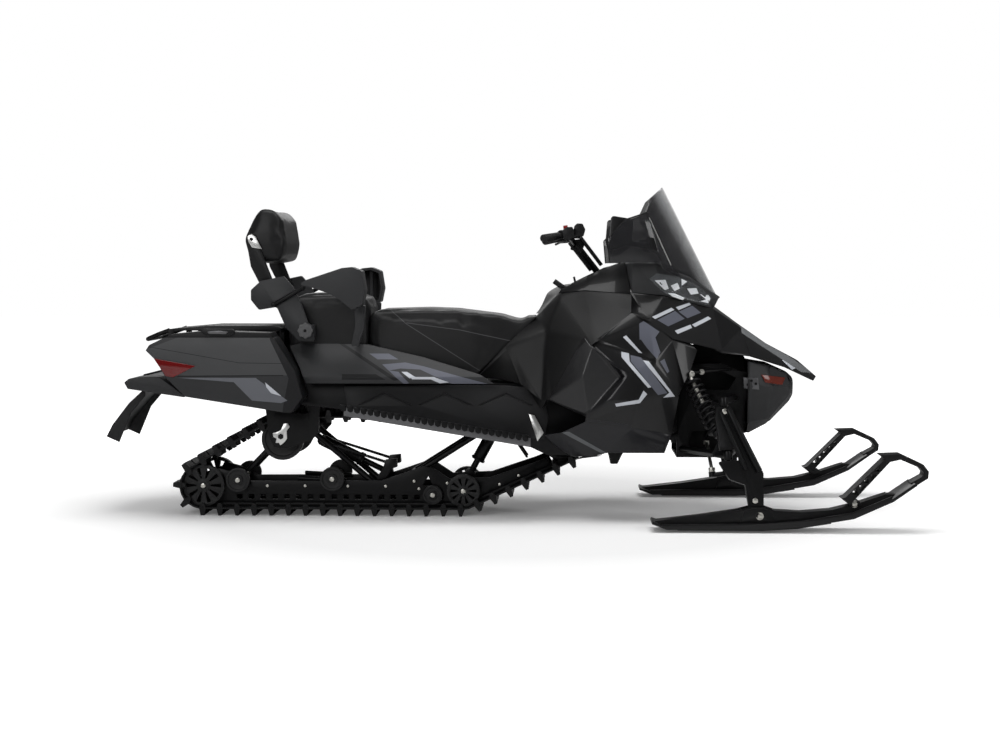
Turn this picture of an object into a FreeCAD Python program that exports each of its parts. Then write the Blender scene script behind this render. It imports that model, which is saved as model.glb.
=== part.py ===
import FreeCAD, Part
import math
import os
from FreeCAD import Placement, Rotation, Vector

# Two-up touring snowmobile, in millimetres.
# X runs forward, Y to the left and Z up, from the ground under the middle of its length.

doc = FreeCAD.newDocument("snowmobile")
sheet = doc.addObject("Spreadsheet::Sheet", "sizes")

SIZES = {
    # Track loop and what it runs round
    "track_width": 381,
    "track_pitch": 72.6,
    "belt_thickness": 6,
    "lug_height": 28,
    "lug_foot": 26,
    "lug_tip": 12,
    "drive_tooth": 18,
    "rear_wheel_radius": 88,
    "rear_wheel_x": -1263,
    "front_wheel_radius": 69,
    "front_wheel_x": -171,
    "upper_idler_radius": 88,
    "upper_idler_x": -928,
    "upper_idler_z": 320,
    "driver_radius": 92,
    "driver_x": 241,
    "driver_z": 322,
    "seat_gap": 0.3,
    "wheel_gap": 1.3,
    # Skid frame under the track's inside
    "rail_y": 115,
    "rail_thickness": 10,
    "slide_height": 14,
    "slide_width": 26,
    "wheel_y": 150,
    "wheel_width": 26,
    "axle_radius": 10,
    "small_wheel_radius": 50,
    # Tunnel and what stands on it
    "tunnel_half": 215,
    "tunnel_wall": 3,
    "tunnel_rear_x": -1500,
    "tunnel_front_x": 400,
    "tunnel_rear_top": 585,
    "tunnel_front_top": 553,
    "board_outer": 400,
    "board_thickness": 4,
    "board_rear_x": -640,
    "board_front_x": 110,
    "board_rear_z": 446,
    "board_front_z": 322,
    "lip_height": 36,
    "bag_inner": 215.3,
    "bag_outer": 370,
    "bag_wall": 4,
    "lid_seam_z": 752,
    "rack_half": 180,
    "rack_z": 780,
    "fairing_outer": 300,
    # Seats and backrest
    "seat_half": 190,
    "passenger_half": 190,
    "pad_half": 226.7,
    "arm_y": 237,
    "guard_outer": 420,
    "guard_inner": 318,
    "guard_wall": 7,
    # Body panels
    "panel_wall": 4,
    "panel_gap": 0.6,
    # Front suspension and steering
    "upper_ball_x": 881,
    "upper_ball_y": 458,
    "upper_ball_z": 502,
    "lower_ball_x": 897,
    "lower_ball_y": 495,
    "lower_ball_z": 292,
    "ball_radius": 17,
    "kingpin_radius": 8,
    "arm_tube_radius": 14,
    "bulkhead_half": 165,
    "bulkhead_wall": 6,
    "spindle_half": 21,
    "ski_y": 535,
    "ski_half": 76,
    "ski_bolt_x": 1008,
    "ski_bolt_z": 66,
    "spring_radius": 38,
    "spring_wire": 11,
    "tie_rod_radius": 7,
    "bar_radius": 11.1,
    "post_radius": 14,
    "bar_x": 296,
    "bar_z": 1135,
    "post_foot_x": 890,
    "post_foot_z": 380,
}
for row, (alias, value) in enumerate(SIZES.items(), start=1):
    sheet.set("A%d" % row, alias)
    sheet.set("B%d" % row, str(value))
    sheet.setAlias("B%d" % row, alias)
doc.recompute()

nodes = {}


def size(alias):
    """A driving dimension, read from the sheet."""
    return float(sheet.get(alias))


def bind(feature, **expressions):
    """Ties a feature's sizes to the sheet; a plain number is set as it is."""
    for name, value in expressions.items():
        if isinstance(value, str):
            feature.setExpression(name, value)
        else:
            setattr(feature, name, value)


def loop(points, radius=0.0):
    """Edges of a closed outline through the points, its corners rounded by the radius."""
    corners = [Vector(u, v, 0) for u, v in points]
    count = len(corners)
    if radius == 0:
        return [Part.LineSegment(corners[i], corners[(i + 1) % count]) for i in range(count)]
    cuts = []
    for i, corner in enumerate(corners):
        back = corners[i - 1] - corner
        ahead = corners[(i + 1) % count] - corner
        half = back.getAngle(ahead) / 2
        cut = min(radius / math.tan(half), 0.4 * back.Length, 0.4 * ahead.Length)
        start = corner + back.normalize() * cut
        end = corner + ahead.normalize() * cut
        rounding = cut * math.tan(half)
        inward = (start + end) * 0.5 - corner
        middle = corner + inward.normalize() * (rounding / math.sin(half) - rounding)
        cuts.append((start, middle, end))
    edges = []
    for i, (start, middle, end) in enumerate(cuts):
        edges.append(Part.Arc(start, middle, end))
        edges.append(Part.LineSegment(end, cuts[(i + 1) % count][0]))
    return edges


def origin_plane(body, role):
    return [item for item in body.Origin.OriginFeatures if item.Role == role][0]


def new_body(name):
    return doc.addObject("PartDesign::Body", name)


def sketch(body, name, plane, edges, offset=0.0):
    """A profile on one of the body's own origin planes, moved off along the plane's normal.

    XZ_Plane faces right, YZ_Plane forward and XY_Plane up.
    """
    profile = body.newObject("Sketcher::SketchObject", name)
    profile.AttachmentSupport = [(origin_plane(body, plane), "")]
    profile.MapMode = "FlatFace"
    if isinstance(offset, str):
        profile.setExpression("AttachmentOffset.Base.z", offset)
    else:
        profile.AttachmentOffset = Placement(Vector(0, 0, offset), Rotation())
    profile.addGeometry(edges, False)
    return profile


def pad(body, name, profile, length, symmetric=False):
    feature = body.newObject("PartDesign::Pad", name)
    feature.Profile = profile
    feature.SideType = "Symmetric" if symmetric else "One side"
    bind(feature, Length=length)
    return feature


def pocket(body, name, profile, length, symmetric=False):
    """A cut that runs along the plane's normal, as a pad grows."""
    feature = body.newObject("PartDesign::Pocket", name)
    feature.Profile = profile
    feature.SideType = "Symmetric" if symmetric else "One side"
    feature.Reversed = True
    bind(feature, Length=length)
    return feature


def side_plate(name, points, inner, thickness, radius=0.0):
    """A plate cut to a side outline, standing on the right from inner outwards."""
    body = new_body(name)
    profile = sketch(body, name + "_outline", "XZ_Plane", loop(points, radius), inner)
    pad(body, name + "_pad", profile, thickness)
    return body


def middle_block(name, points, half_width, radius=0.0):
    """A block cut to a side outline, centred on the machine's middle plane."""
    body = new_body(name)
    profile = sketch(body, name + "_outline", "XZ_Plane", loop(points, radius))
    pad(body, name + "_pad", profile, "2 * (%s)" % half_width, symmetric=True)
    return body


def join(name, pieces):
    fused = doc.addObject("Part::MultiFuse", name)
    fused.Shapes = pieces
    return fused


def group(name, pieces):
    """Like pieces of one sub-part, kept as solids that don't touch."""
    compound = doc.addObject("Part::Compound", name)
    compound.Links = pieces
    return compound


def common(name, pieces):
    shared = doc.addObject("Part::MultiCommon", name)
    shared.Shapes = pieces
    return shared


def cut(name, base, tool):
    difference = doc.addObject("Part::Cut", name)
    difference.Base = base
    difference.Tool = tool
    return difference


def mirror(name, source):
    """The same piece on the other side of the machine."""
    other = doc.addObject("Part::Mirroring", name)
    other.Source = source
    other.Normal = Vector(0, 1, 0)
    return other


def pair(name, right):
    return group(name, [right, mirror(name + "_other", right)])


def rod(name, start, end, radius):
    """A round bar from one point to another."""
    run = Vector(*end) - Vector(*start)
    cylinder = doc.addObject("Part::Cylinder", name)
    bind(cylinder, Radius=radius, Height=run.Length)
    cylinder.Placement = Placement(Vector(*start), Rotation(Vector(0, 0, 1), run))
    return cylinder


def cross_rod(name, x, z, half_length, radius):
    """A round bar that lies across the machine."""
    return rod(name, (x, -half_length, z), (x, half_length, z), radius)


def node(name, piece):
    """Names the finished sub-part; its label is its file's name."""
    piece.Label = name
    nodes[name] = piece
    return piece


# Track: one moulded loop, round the outer tangents of its four wheels.

inner_gap = size("seat_gap")
ground_z = size("lug_height") + size("belt_thickness")
wheel_gap = size("wheel_gap")
wheels = [
    (size("rear_wheel_x"), ground_z + wheel_gap + size("rear_wheel_radius"), size("rear_wheel_radius")),
    (size("front_wheel_x"), ground_z + wheel_gap + size("front_wheel_radius"), size("front_wheel_radius")),
    (size("driver_x"), size("driver_z"), size("driver_radius")),
    (size("upper_idler_x"), size("upper_idler_z"), size("upper_idler_radius")),
]


def belt_runs():
    """The belt's inner line as straight runs and arcs, counted from the rear wheel's underside."""
    count = len(wheels)
    angles = []
    for i in range(count):
        x0, z0, r0 = wheels[i]
        x1, z1, r1 = wheels[(i + 1) % count]
        span = math.hypot(x1 - x0, z1 - z0)
        angles.append(math.atan2(z1 - z0, x1 - x0) - math.acos((r0 - r1) / span))
    runs = []
    for i in range(count):
        x0, z0, r0 = wheels[i]
        x1, z1, r1 = wheels[(i + 1) % count]
        r0 += wheel_gap
        r1 += wheel_gap
        normal = (math.cos(angles[i]), math.sin(angles[i]))
        start = (x0 + r0 * normal[0], z0 + r0 * normal[1])
        end = (x1 + r1 * normal[0], z1 + r1 * normal[1])
        runs.append(("line", start, end, normal, math.dist(start, end)))
        turn = (angles[(i + 1) % count] - angles[i]) % (2 * math.pi)
        runs.append(("arc", (x1, z1), r1, angles[i], turn * r1))
    return runs


RUNS = belt_runs()
LOOP_LENGTH = sum(run[4] for run in RUNS)
LUG_COUNT = round(LOOP_LENGTH / size("track_pitch"))
LUG_PITCH = LOOP_LENGTH / LUG_COUNT


def belt_point(distance, height):
    """A point along the loop, a height outwards from the belt's inner face."""
    distance %= LOOP_LENGTH
    for kind, first, second, third, length in RUNS:
        if distance > length:
            distance -= length
            continue
        if kind == "line":
            share = distance / length
            x = first[0] + (second[0] - first[0]) * share
            z = first[1] + (second[1] - first[1]) * share
            return (x + third[0] * height, z + third[1] * height)
        angle = third + distance / second
        reach = second + height
        return (first[0] + reach * math.cos(angle), first[1] + reach * math.sin(angle))
    return belt_point(0, height)


def on_wheel(distance):
    """Whether the belt bends round a wheel at a distance along the loop."""
    distance %= LOOP_LENGTH
    for run in RUNS:
        if distance <= run[4]:
            return run[0] == "arc"
        distance -= run[4]
    return False


def track_strip(low, high, with_lugs, with_teeth):
    """A strip of the track between two distances across it, with its lugs and drive teeth."""
    belt = size("belt_thickness")
    foot = size("lug_foot") / 2
    tip = size("lug_tip") / 2
    outer = []
    inner = []
    for i in range(LUG_COUNT):
        middle = i * LUG_PITCH
        outer.append(belt_point(middle - foot, belt))
        inner.append(belt_point(middle - foot, 0))
        if with_lugs:
            outer.append(belt_point(middle - tip, belt + size("lug_height")))
            outer.append(belt_point(middle + tip, belt + size("lug_height")))
        if with_teeth:
            inner.append(belt_point(middle - tip, -size("drive_tooth")))
            inner.append(belt_point(middle + tip, -size("drive_tooth")))
        outer.append(belt_point(middle + foot, belt))
        inner.append(belt_point(middle + foot, 0))
        if on_wheel(middle + LUG_PITCH / 2):
            outer.append(belt_point(middle + LUG_PITCH / 2, belt))
            inner.append(belt_point(middle + LUG_PITCH / 2, 0))
    faces = []
    for line in (outer, inner):
        corners = [Vector(x, low, z) for x, z in line]
        faces.append(Part.Face(Part.makePolygon(corners + corners[:1])))
    ring = faces[0].cut(faces[1])
    return ring.extrude(Vector(0, high - low, 0))


half_track = size("track_width") / 2
tooth_inner = size("rail_y") - 60
tooth_outer = size("rail_y") - 35
edge_tooth = half_track - 22
edge_plain = half_track - 4
strips = [track_strip(-tooth_inner, tooth_inner, True, False)]
for side in (-1, 1):
    for near, far, with_lugs, with_teeth in (
        (tooth_inner, tooth_outer, False, True),
        (tooth_outer, edge_tooth, True, False),
        (edge_tooth, edge_plain, True, True),
        (edge_plain, half_track, False, False),
    ):
        strips.append(track_strip(min(side * near, side * far), max(side * near, side * far), with_lugs,
            with_teeth))
track_piece = doc.addObject("Part::Feature", "track_loop")
track_piece.Shape = strips[0].multiFuse(strips[1:]).removeSplitter()
node("track", track_piece)

# Slide rails: aluminium plates that run inside the belt and turn up at the front.

rail_y = size("rail_y")
rail_half = size("rail_thickness") / 2
rear_axle_z = wheels[0][1]
front_axle_z = wheels[1][1]
belt_start = RUNS[0][4] + RUNS[1][4]
ramp_length = 375


def rail_underside(height):
    """The rail's lower edge, a height inwards from the belt, from the rear axle to the front tip."""
    points = [belt_point(size("lug_foot"), -height)]
    for share in (0, 0.5, 1):
        points.append(belt_point(RUNS[0][4] + share * RUNS[1][4], -height - wheel_gap + inner_gap))
    points.append(belt_point(belt_start + ramp_length, -height))
    return points


slide_height = size("slide_height")
rail_tip = belt_point(belt_start + ramp_length, -slide_height - 34)
rail_outline = rail_underside(slide_height) + [
    rail_tip,
    (128, 222),
    (-60, 158),
    (-230, 150),
    (-300, 196),
    (-345, 202),
    (-430, 172),
    (-520, 142),
    (-1080, 138),
    (-1150, 176),
    (-1205, 190),
    (size("rear_wheel_x") - 42, 150),
    (size("rear_wheel_x") - 42, 92),
]
rail = side_plate("rail", rail_outline, "sizes.rail_y - sizes.rail_thickness / 2", "sizes.rail_thickness")
window = sketch(rail, "rail_window", "XZ_Plane", loop([(-1130, 62), (-1106, 62), (-1106, 82), (-1130, 82)]),
    "sizes.rail_y - 20")
windows = pocket(rail, "rail_windows", window, 40)
row_of_windows = rail.newObject("PartDesign::LinearPattern", "rail_window_row")
row_of_windows.Originals = [windows]
row_of_windows.Direction = (window, ["H_Axis"])
row_of_windows.Length = 900
row_of_windows.Occurrences = 19
rail.Tip = row_of_windows
round_windows = sketch(rail, "rail_holes", "XZ_Plane", loop([(-345, 120), (-300, 120), (-322, 165)]),
    "sizes.rail_y - 20")
pocket(rail, "rail_hump_window", round_windows, 40)
small = size("small_wheel_radius")
bogie_spots = [
    ("mid_wheel", -722, ground_z + wheel_gap + small + 66, small),
    ("hump_wheel", -300, ground_z + wheel_gap + small, small - 10),
    ("rear_bogie", -1120, ground_z + wheel_gap + small + 60, small),
]
axle_places = [(size("rear_wheel_x"), rear_axle_z), (size("front_wheel_x"), front_axle_z)]
axle_places += [(x, z) for name, x, z, radius in bogie_spots]
for number, (x, z) in enumerate(axle_places):
    bore = sketch(rail, "axle_bore%d" % number, "XZ_Plane", [
        Part.Circle(Vector(x, z, 0), Vector(0, 0, 1), size("axle_radius") + inner_gap)], "sizes.rail_y - 20")
    pocket(rail, "axle_bore_cut%d" % number, bore, 40)
node("slide_rails", pair("rails", rail))

slide_points = rail_underside(inner_gap)
slide_outline = slide_points + list(reversed(rail_underside(slide_height - inner_gap)))
slide = side_plate("slide", slide_outline, "sizes.rail_y - sizes.slide_width / 2", "sizes.slide_width")
node("slide_shoes", pair("slides", slide))

# Wheels inside the loop.

wheel_inner = size("wheel_y") - size("wheel_width") / 2


def spoked_wheel(name, x, z, radius, bore, spokes=10):
    """An idler wheel: a rubber-rimmed disc with windows between its spokes, bored for its axle."""
    body = new_body(name)
    disc = sketch(body, name + "_disc", "XZ_Plane", [
        Part.Circle(Vector(0, 0, 0), Vector(0, 0, 1), radius),
        Part.Circle(Vector(0, 0, 0), Vector(0, 0, 1), bore),
    ], "sizes.wheel_y - sizes.wheel_width / 2")
    pad(body, name + "_pad", disc, "sizes.wheel_width")
    dish = sketch(body, name + "_dish", "XZ_Plane", [
        Part.Circle(Vector(0, 0, 0), Vector(0, 0, 1), radius - 10),
        Part.Circle(Vector(0, 0, 0), Vector(0, 0, 1), radius * 0.28),
    ], "sizes.wheel_y + sizes.wheel_width / 2 - 5")
    pocket(body, name + "_dish_cut", dish, 6)
    near = radius * 0.34
    far = radius - 14
    window = sketch(body, name + "_window", "XZ_Plane", loop([
        (near, -near * 0.1), (far, -far * 0.12), (far, far * 0.12), (near, near * 0.1)
    ]), "sizes.wheel_y - sizes.wheel_width")
    opening = pocket(body, name + "_window_cut", window, "2 * sizes.wheel_width")
    ring = body.newObject("PartDesign::PolarPattern", name + "_spokes")
    ring.Originals = [opening]
    ring.Axis = (window, ["N_Axis"])
    ring.Angle = 360
    ring.Occurrences = spokes
    body.Tip = ring
    body.Placement = Placement(Vector(x, 0, z), Rotation())
    return body


bore_radius = size("axle_radius") + inner_gap
rear_wheel = spoked_wheel("rear_wheel", wheels[0][0], wheels[0][1], size("rear_wheel_radius"), bore_radius)
front_wheel = spoked_wheel("front_wheel", wheels[1][0], wheels[1][1], size("front_wheel_radius"), bore_radius)


def plain_wheel(name, x, z, radius, near, wide, bore):
    """A small bogie wheel with a raised hub, turned as one piece."""
    body = new_body(name)
    profile = sketch(body, name + "_profile", "YZ_Plane", loop([
        (-near, bore), (-near - wide, bore), (-near - wide, radius * 0.4), (-near - wide + 6, radius * 0.45),
        (-near - wide + 6, radius * 0.8), (-near - wide, radius * 0.84), (-near - wide, radius),
        (-near, radius),
    ]))
    turned = body.newObject("PartDesign::Revolution", name + "_turned")
    turned.Profile = profile
    turned.ReferenceAxis = (profile, ["H_Axis"])
    turned.Angle = 360
    body.Placement = Placement(Vector(x, 0, z), Rotation())
    return body


idler = plain_wheel(
    "upper_idler", size("upper_idler_x"), size("upper_idler_z"), size("upper_idler_radius"), wheel_inner - 4,
    30, bore_radius)
idlers = [rear_wheel, front_wheel, idler]
for name, x, z, radius in bogie_spots:
    idlers.append(plain_wheel(name, x, z, radius, wheel_inner - 4, 22, bore_radius))
node("idler_wheels", group("idlers", idlers + [mirror(wheel.Name + "_other", wheel) for wheel in idlers]))

# Cross axles of the skid frame.

axle_end = size("wheel_y") + size("wheel_width") / 2 + 4
bracket_inner = size("tunnel_half") - size("tunnel_wall") - inner_gap - 8
idler_end = bracket_inner - inner_gap
axle_spots = [
    ("rear_axle", wheels[0][0], wheels[0][1], axle_end),
    ("front_axle", wheels[1][0], wheels[1][1], axle_end),
    ("idler_axle", size("upper_idler_x"), size("upper_idler_z"), idler_end),
]
for name, x, z, radius in bogie_spots:
    axle_spots.append((name + "_axle", x, z, axle_end - 6))
axles = [cross_rod(name, x, z, half, "sizes.axle_radius") for name, x, z, half in axle_spots]
node("skid_axles", group("axles", axles))

# Driveshaft: a bar across the tunnel with two toothed drivers.

shaft_x = size("driver_x")
shaft_z = size("driver_z")
tunnel_half = size("tunnel_half")
driver = plain_wheel("driver", shaft_x, shaft_z, size("driver_radius"), size("rail_y") - 30, 22,
    size("axle_radius") + 5 + inner_gap)
driveshaft = cross_rod("drive_bar", shaft_x, shaft_z, tunnel_half - size("tunnel_wall") - inner_gap,
    "sizes.axle_radius + 5")
node("driveshaft", group("driveshaft_form", [driveshaft, driver, mirror("driver_other", driver)]))

# Tunnel: one folded aluminium sheet, open below, with a closed front above the track.


def tunnel_top(x):
    """Height of the tunnel's top sheet."""
    share = (x - size("tunnel_rear_x")) / (size("tunnel_front_x") - size("tunnel_rear_x"))
    return size("tunnel_rear_top") + share * (size("tunnel_front_top") - size("tunnel_rear_top"))


tunnel_rear = size("tunnel_rear_x")
tunnel_front = size("tunnel_front_x")
tunnel_outline = [
    (tunnel_rear, tunnel_top(tunnel_rear)),
    (tunnel_front, tunnel_top(tunnel_front)),
    (tunnel_front, 300),
    (340, 262),
    (180, 262),
    (100, 300),
    (size("board_rear_x"), size("board_rear_z")),
    (tunnel_rear, 540),
]
tunnel = middle_block("tunnel_form", tunnel_outline, "sizes.tunnel_half")
wall = size("tunnel_wall")
inside = [
    (tunnel_rear - 5, tunnel_top(tunnel_rear) - wall),
    (tunnel_front - wall, tunnel_top(tunnel_front) - wall),
    (tunnel_front - wall, 200),
    (tunnel_rear - 5, 200),
]
hollow = sketch(tunnel, "tunnel_hollow", "XZ_Plane", loop(inside))
pocket(tunnel, "tunnel_hollow_cut", hollow, "2 * (sizes.tunnel_half - sizes.tunnel_wall)", symmetric=True)
node("tunnel", tunnel)

# Running boards: serrated plates beside the tunnel with a raised outer lip.

board_rear = size("board_rear_x")
board_front = size("board_front_x")
board_rear_z = size("board_rear_z")
board_front_z = size("board_front_z")
board_slope = (board_front_z - board_rear_z) / (board_front - board_rear)


def board_z(x):
    return board_rear_z + board_slope * (x - board_rear)


thickness = size("board_thickness")
board = side_plate("board", [
    (board_rear, board_z(board_rear)), (board_front, board_z(board_front)),
    (board_front, board_z(board_front) + thickness), (board_rear, board_z(board_rear) + thickness),
], "sizes.tunnel_half + sizes.seat_gap", "sizes.board_outer - sizes.tunnel_half - sizes.seat_gap")
hole_length = 46
hole_pitch = 70
hole_count = int((board_front - board_rear - 60) / hole_pitch)
for row in range(3):
    y = tunnel_half + 30 + row * 48
    holes = sketch(board, "board_holes%d" % row, "XY_Plane", [
        edge for i in range(hole_count) for edge in loop([
            (board_rear + 30 + i * hole_pitch, -y), (board_rear + 30 + i * hole_pitch + hole_length, -y),
            (board_rear + 30 + i * hole_pitch + hole_length, -y - 24),
            (board_rear + 30 + i * hole_pitch, -y - 24)])
    ], board_front_z - 50)
    pocket(board, "board_holes%d_cut" % row, holes, board_rear_z - board_front_z + 120)
lip = side_plate("board_lip", [
    (board_rear, board_z(board_rear) - 8), (board_front + 4, board_z(board_front) - 8),
    (board_front + 4, board_z(board_front) + size("lip_height") - 8),
    (board_rear, board_z(board_rear) + size("lip_height") - 8),
], "sizes.board_outer", "sizes.board_thickness + 2")
board_and_lip = join("board_and_lip", [board, lip])
node("running_boards", pair("boards", board_and_lip))

# Footwell panels: moulded covers on the tunnel's sides, above the running boards.

footwell = side_plate("footwell", [
    (-660, 548), (-645, board_z(-645) + 12), (board_front, board_z(board_front) + 12), (168, 330), (186, 415),
    (170, 492), (112, 545), (8, 551),
], "sizes.tunnel_half + sizes.seat_gap", 22)
for start in (-600, -350, -100):
    chevron = sketch(footwell, "chevron%d" % abs(start), "XZ_Plane", loop([
        (start, 470), (start + 110, 520), (start + 220, 470), (start + 206, 470), (start + 110, 512),
        (start + 14, 470)]),
        tunnel_half + inner_gap + 18)
    pocket(footwell, "chevron%d_cut" % abs(start), chevron, 10)
node("footwell_panels", pair("footwells", footwell))

# Rear side panels: the fairing between the seat and the tunnel's top.

fairing_wall = 5
fairing_top_z = 728
fairing_inner = size("seat_half") + inner_gap
fairing_outer = size("fairing_outer")
fairing_section = [
    (-fairing_inner, fairing_top_z), (-fairing_outer, 590), (-fairing_outer, 562),
    (-fairing_outer + fairing_wall, 562), (-fairing_outer + fairing_wall, 588),
    (-fairing_inner, fairing_top_z - 8),
]
strip_body = new_body("fairing_strip")
strip_profile = sketch(strip_body, "fairing_section", "YZ_Plane", loop(fairing_section), -890)
pad(strip_body, "fairing_pad", strip_profile, 860)
fairing_outline = side_plate("fairing_outline", [
    (-806, 558), (-838, 626), (-890, 712), (-800, 732), (-646, 720), (-560, 718), (-330, 668), (-94, 600),
    (-30, 558),
], 150, 200)
fairing = common("fairing", [strip_body, fairing_outline])
node("rear_side_panels", pair("fairings", fairing))

# Seats: closed solids under their covers.

seat_driver = middle_block("seat_driver_form", [
    (-560, 858), (-448, 862), (-320, 866), (-193, 861), (-23, 838), (53, 814), (112, 846), (132, 848),
    (10, 712), (-114, tunnel_top(-114) + 20),
    (-150, tunnel_top(-150) + inner_gap), (-560, tunnel_top(-560) + inner_gap),
], "sizes.seat_half", 20)
node("seat_driver", seat_driver)
seat_passenger = middle_block("seat_passenger_form", [
    (-892, 905), (-845, 922), (-640, 930), (-570, 918), (-561, 880), (-561, tunnel_top(-561) + inner_gap),
    (-892, tunnel_top(-892) + inner_gap),
], "sizes.passenger_half", 20)
node("seat_passenger", seat_passenger)

# Body panels: thin shells between corner points, so that each crease is an edge of the panel.

gap = size("panel_gap")
panel_wall = size("panel_wall")
post_top = Vector(size("bar_x"), 0, size("bar_z"))
post_foot = Vector(size("post_foot_x"), 0, size("post_foot_z"))
post_line = (post_top - post_foot).normalize()
BODY_MIDDLE_Z = 600


def faceted(points, faces):
    """A closed solid from corner points and faces, each split into triangles."""
    triangles = []
    for face in faces:
        for i in range(1, len(face) - 1):
            corners = [points[face[0]], points[face[i]], points[face[i + 1]]]
            triangles.append(Part.Face(Part.makePolygon(corners + corners[:1])))
    solid = Part.Solid(Part.Shell(triangles))
    if solid.Volume < 0:
        solid.reverse()
    return solid


def face_normal(points, face):
    """Which way a face looks, over all its triangles."""
    first = points[face[0]]
    normal = Vector()
    for i in range(1, len(face) - 1):
        normal += (points[face[i]] - first).cross(points[face[i + 1]] - first)
    return normal.normalize()


def flip(face):
    """The same face seen from its other side, split into the same triangles."""
    return face[:1] + tuple(reversed(face[1:]))


def right_half(table, faces):
    """Points and faces of the right side, each face turned to look outwards."""
    points = {name: Vector(x, -y, z) for name, (x, y, z) in table.items()}
    turned = []
    for face in faces:
        centre = sum([points[name] for name in face], Vector()) * (1 / len(face))
        outwards = Vector(0, centre.y, centre.z - BODY_MIDDLE_Z)
        turned.append(face if face_normal(points, face).dot(outwards) > 0 else flip(face))
    return points, turned


def whole(points, faces):
    """Adds the left half: points off the middle plane get a twin with a _l name."""
    both = dict(points)
    for name, point in points.items():
        if abs(point.y) > 0.01:
            both[name + "_l"] = Vector(point.x, -point.y, point.z)
    twins = []
    for face in faces:
        twins.append(tuple(name + "_l" if name + "_l" in both else name for name in flip(face)))
    return both, list(faces) + twins


def shell_solid(points, faces, wall):
    """A panel with its wall inside the given faces."""
    normals = {name: Vector() for face in faces for name in face}
    edges = {}
    for face in faces:
        for name in face:
            normals[name] += face_normal(points, face)
        for i, name in enumerate(face):
            edges[(name, face[(i + 1) % len(face)])] = True
    corners = dict(points)
    closed = list(faces)
    for name, normal in normals.items():
        corners[name + "_in"] = points[name] - normal.normalize() * wall
    for face in faces:
        closed.append(tuple(name + "_in" for name in flip(face)))
    for first, second in edges:
        if (second, first) not in edges:
            closed.append((second, first, first + "_in", second + "_in"))
    return faceted(corners, closed)


def body_panel(name, table, faces, both_sides):
    points, turned = right_half(table, faces)
    if both_sides:
        points, turned = whole(points, turned)
    panel = doc.addObject("Part::Feature", name)
    panel.Shape = shell_solid(points, turned, panel_wall)
    return panel


post_room = rod("post_room", tuple(post_foot), tuple(post_top), "sizes.post_radius + 14")

# Console and tank cover: corners as (along, across, up), the middle ones first.
CONSOLE = {
    "rear_top": (142, 0, 856), "top_rise": (176, 0, 933), "top": (231, 0, 964), "top_front": (400, 0, 985),
    "under_pod": (520, 0, 985),
    "ridge_rear": (223, 130, 931), "ridge": (333, 170, 947), "ridge_front": (524, 214, 932),
    "seat_top": (150, 120, 848), "seat_side": (20, 192, 707), "seat_foot": (-110, 196, 584),
    "foot_rear": (0, 224, 574), "foot": (75, 247, 558), "foot_front": (149, 262, 490),
    "tank_top": (231, 165, 906), "tank": (173, 215, 775), "cheek_top": (335, 332, 747),
    "cheek_foot": (185, 300, 499),
    "shoulder": (396, 343, 748), "shoulder_top": (520, 299, 852),
}
CONSOLE_FACES = [
    ("rear_top", "top_rise", "ridge_rear", "seat_top"), ("top_rise", "top", "ridge_rear"),
    ("top", "top_front", "ridge", "ridge_rear"),
    ("top_front", "under_pod", "ridge_front", "ridge"),
    ("seat_top", "ridge_rear", "tank_top", "tank", "seat_side"),
    ("seat_side", "tank", "foot_front", "foot", "foot_rear", "seat_foot"),
    ("ridge_rear", "ridge", "tank_top"),
    ("tank_top", "ridge", "cheek_top", "tank"), ("tank", "cheek_top", "cheek_foot", "foot_front"),
    ("ridge", "ridge_front", "shoulder_top", "shoulder", "cheek_top"),
]
console_form = body_panel("console_panel", CONSOLE, CONSOLE_FACES, True)
node("console", cut("console_form", console_form, post_room))

# Side panels: over the engine bay, with the sunk air channel that curves down their middle.
SIDE = {
    "cheek_top": (335 + gap, 332.5, 746.2), "shoulder": (396 + gap, 344, 747.2), "shoulder_top": (520 + gap, 300, 851.2),
    "brow": (598, 291, 821),
    "brow_front": (688, 286, 742), "fender": (616, 374, 660), "corner": (766, 270, 748 - 22),
    "corner_front": (791, 265, 699),
    "cut_top": (761, 280, 612), "cut": (733, 300, 560), "cut_low": (715, 330, 524),
    "seam_front": (684, 336, 361),
    "seam_mid": (520, 400, 393), "seam_rear": (356, 374, 426), "channel_foot": (340, 368, 446),
    "cheek_foot": (186, 301, 498),
    "vent_rear": (362, 362, 716), "vent_front": (503, 392, 606), "vent_deep": (470, 366, 590),
    "channel": (425, 402, 505),
    "channel_deep": (400, 376, 512), "belly_wide": (540, 408, 500), "blister": (322, 372, 600),
}
SIDE_FACES = [
    ("shoulder", "shoulder_top", "brow", "fender"), ("brow", "brow_front", "fender"),
    ("brow_front", "corner", "corner_front", "cut_top"),
    ("brow_front", "cut_top", "cut", "cut_low", "fender"),
    ("cheek_top", "shoulder", "fender", "vent_front", "vent_rear"),
    ("vent_front", "fender", "belly_wide"), ("fender", "cut_low", "belly_wide"),
    ("cut_low", "seam_front", "belly_wide"),
    ("belly_wide", "seam_front", "seam_mid"), ("belly_wide", "seam_mid", "seam_rear", "channel"),
    ("vent_front", "belly_wide", "channel"),
    ("vent_rear", "vent_front", "vent_deep"), ("vent_front", "channel", "channel_deep", "vent_deep"),
    ("channel", "seam_rear", "channel_foot", "channel_deep"), ("vent_rear", "vent_deep", "blister"),
    ("vent_deep", "channel_deep", "blister"),
    ("channel_deep", "channel_foot", "blister"), ("channel_foot", "cheek_foot", "blister"),
    ("cheek_foot", "cheek_top", "blister"),
    ("cheek_top", "vent_rear", "blister"),
]
side_panel = body_panel("side_panel", SIDE, SIDE_FACES, False)
node("side_panels", pair("side_panel_pair", side_panel))

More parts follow.
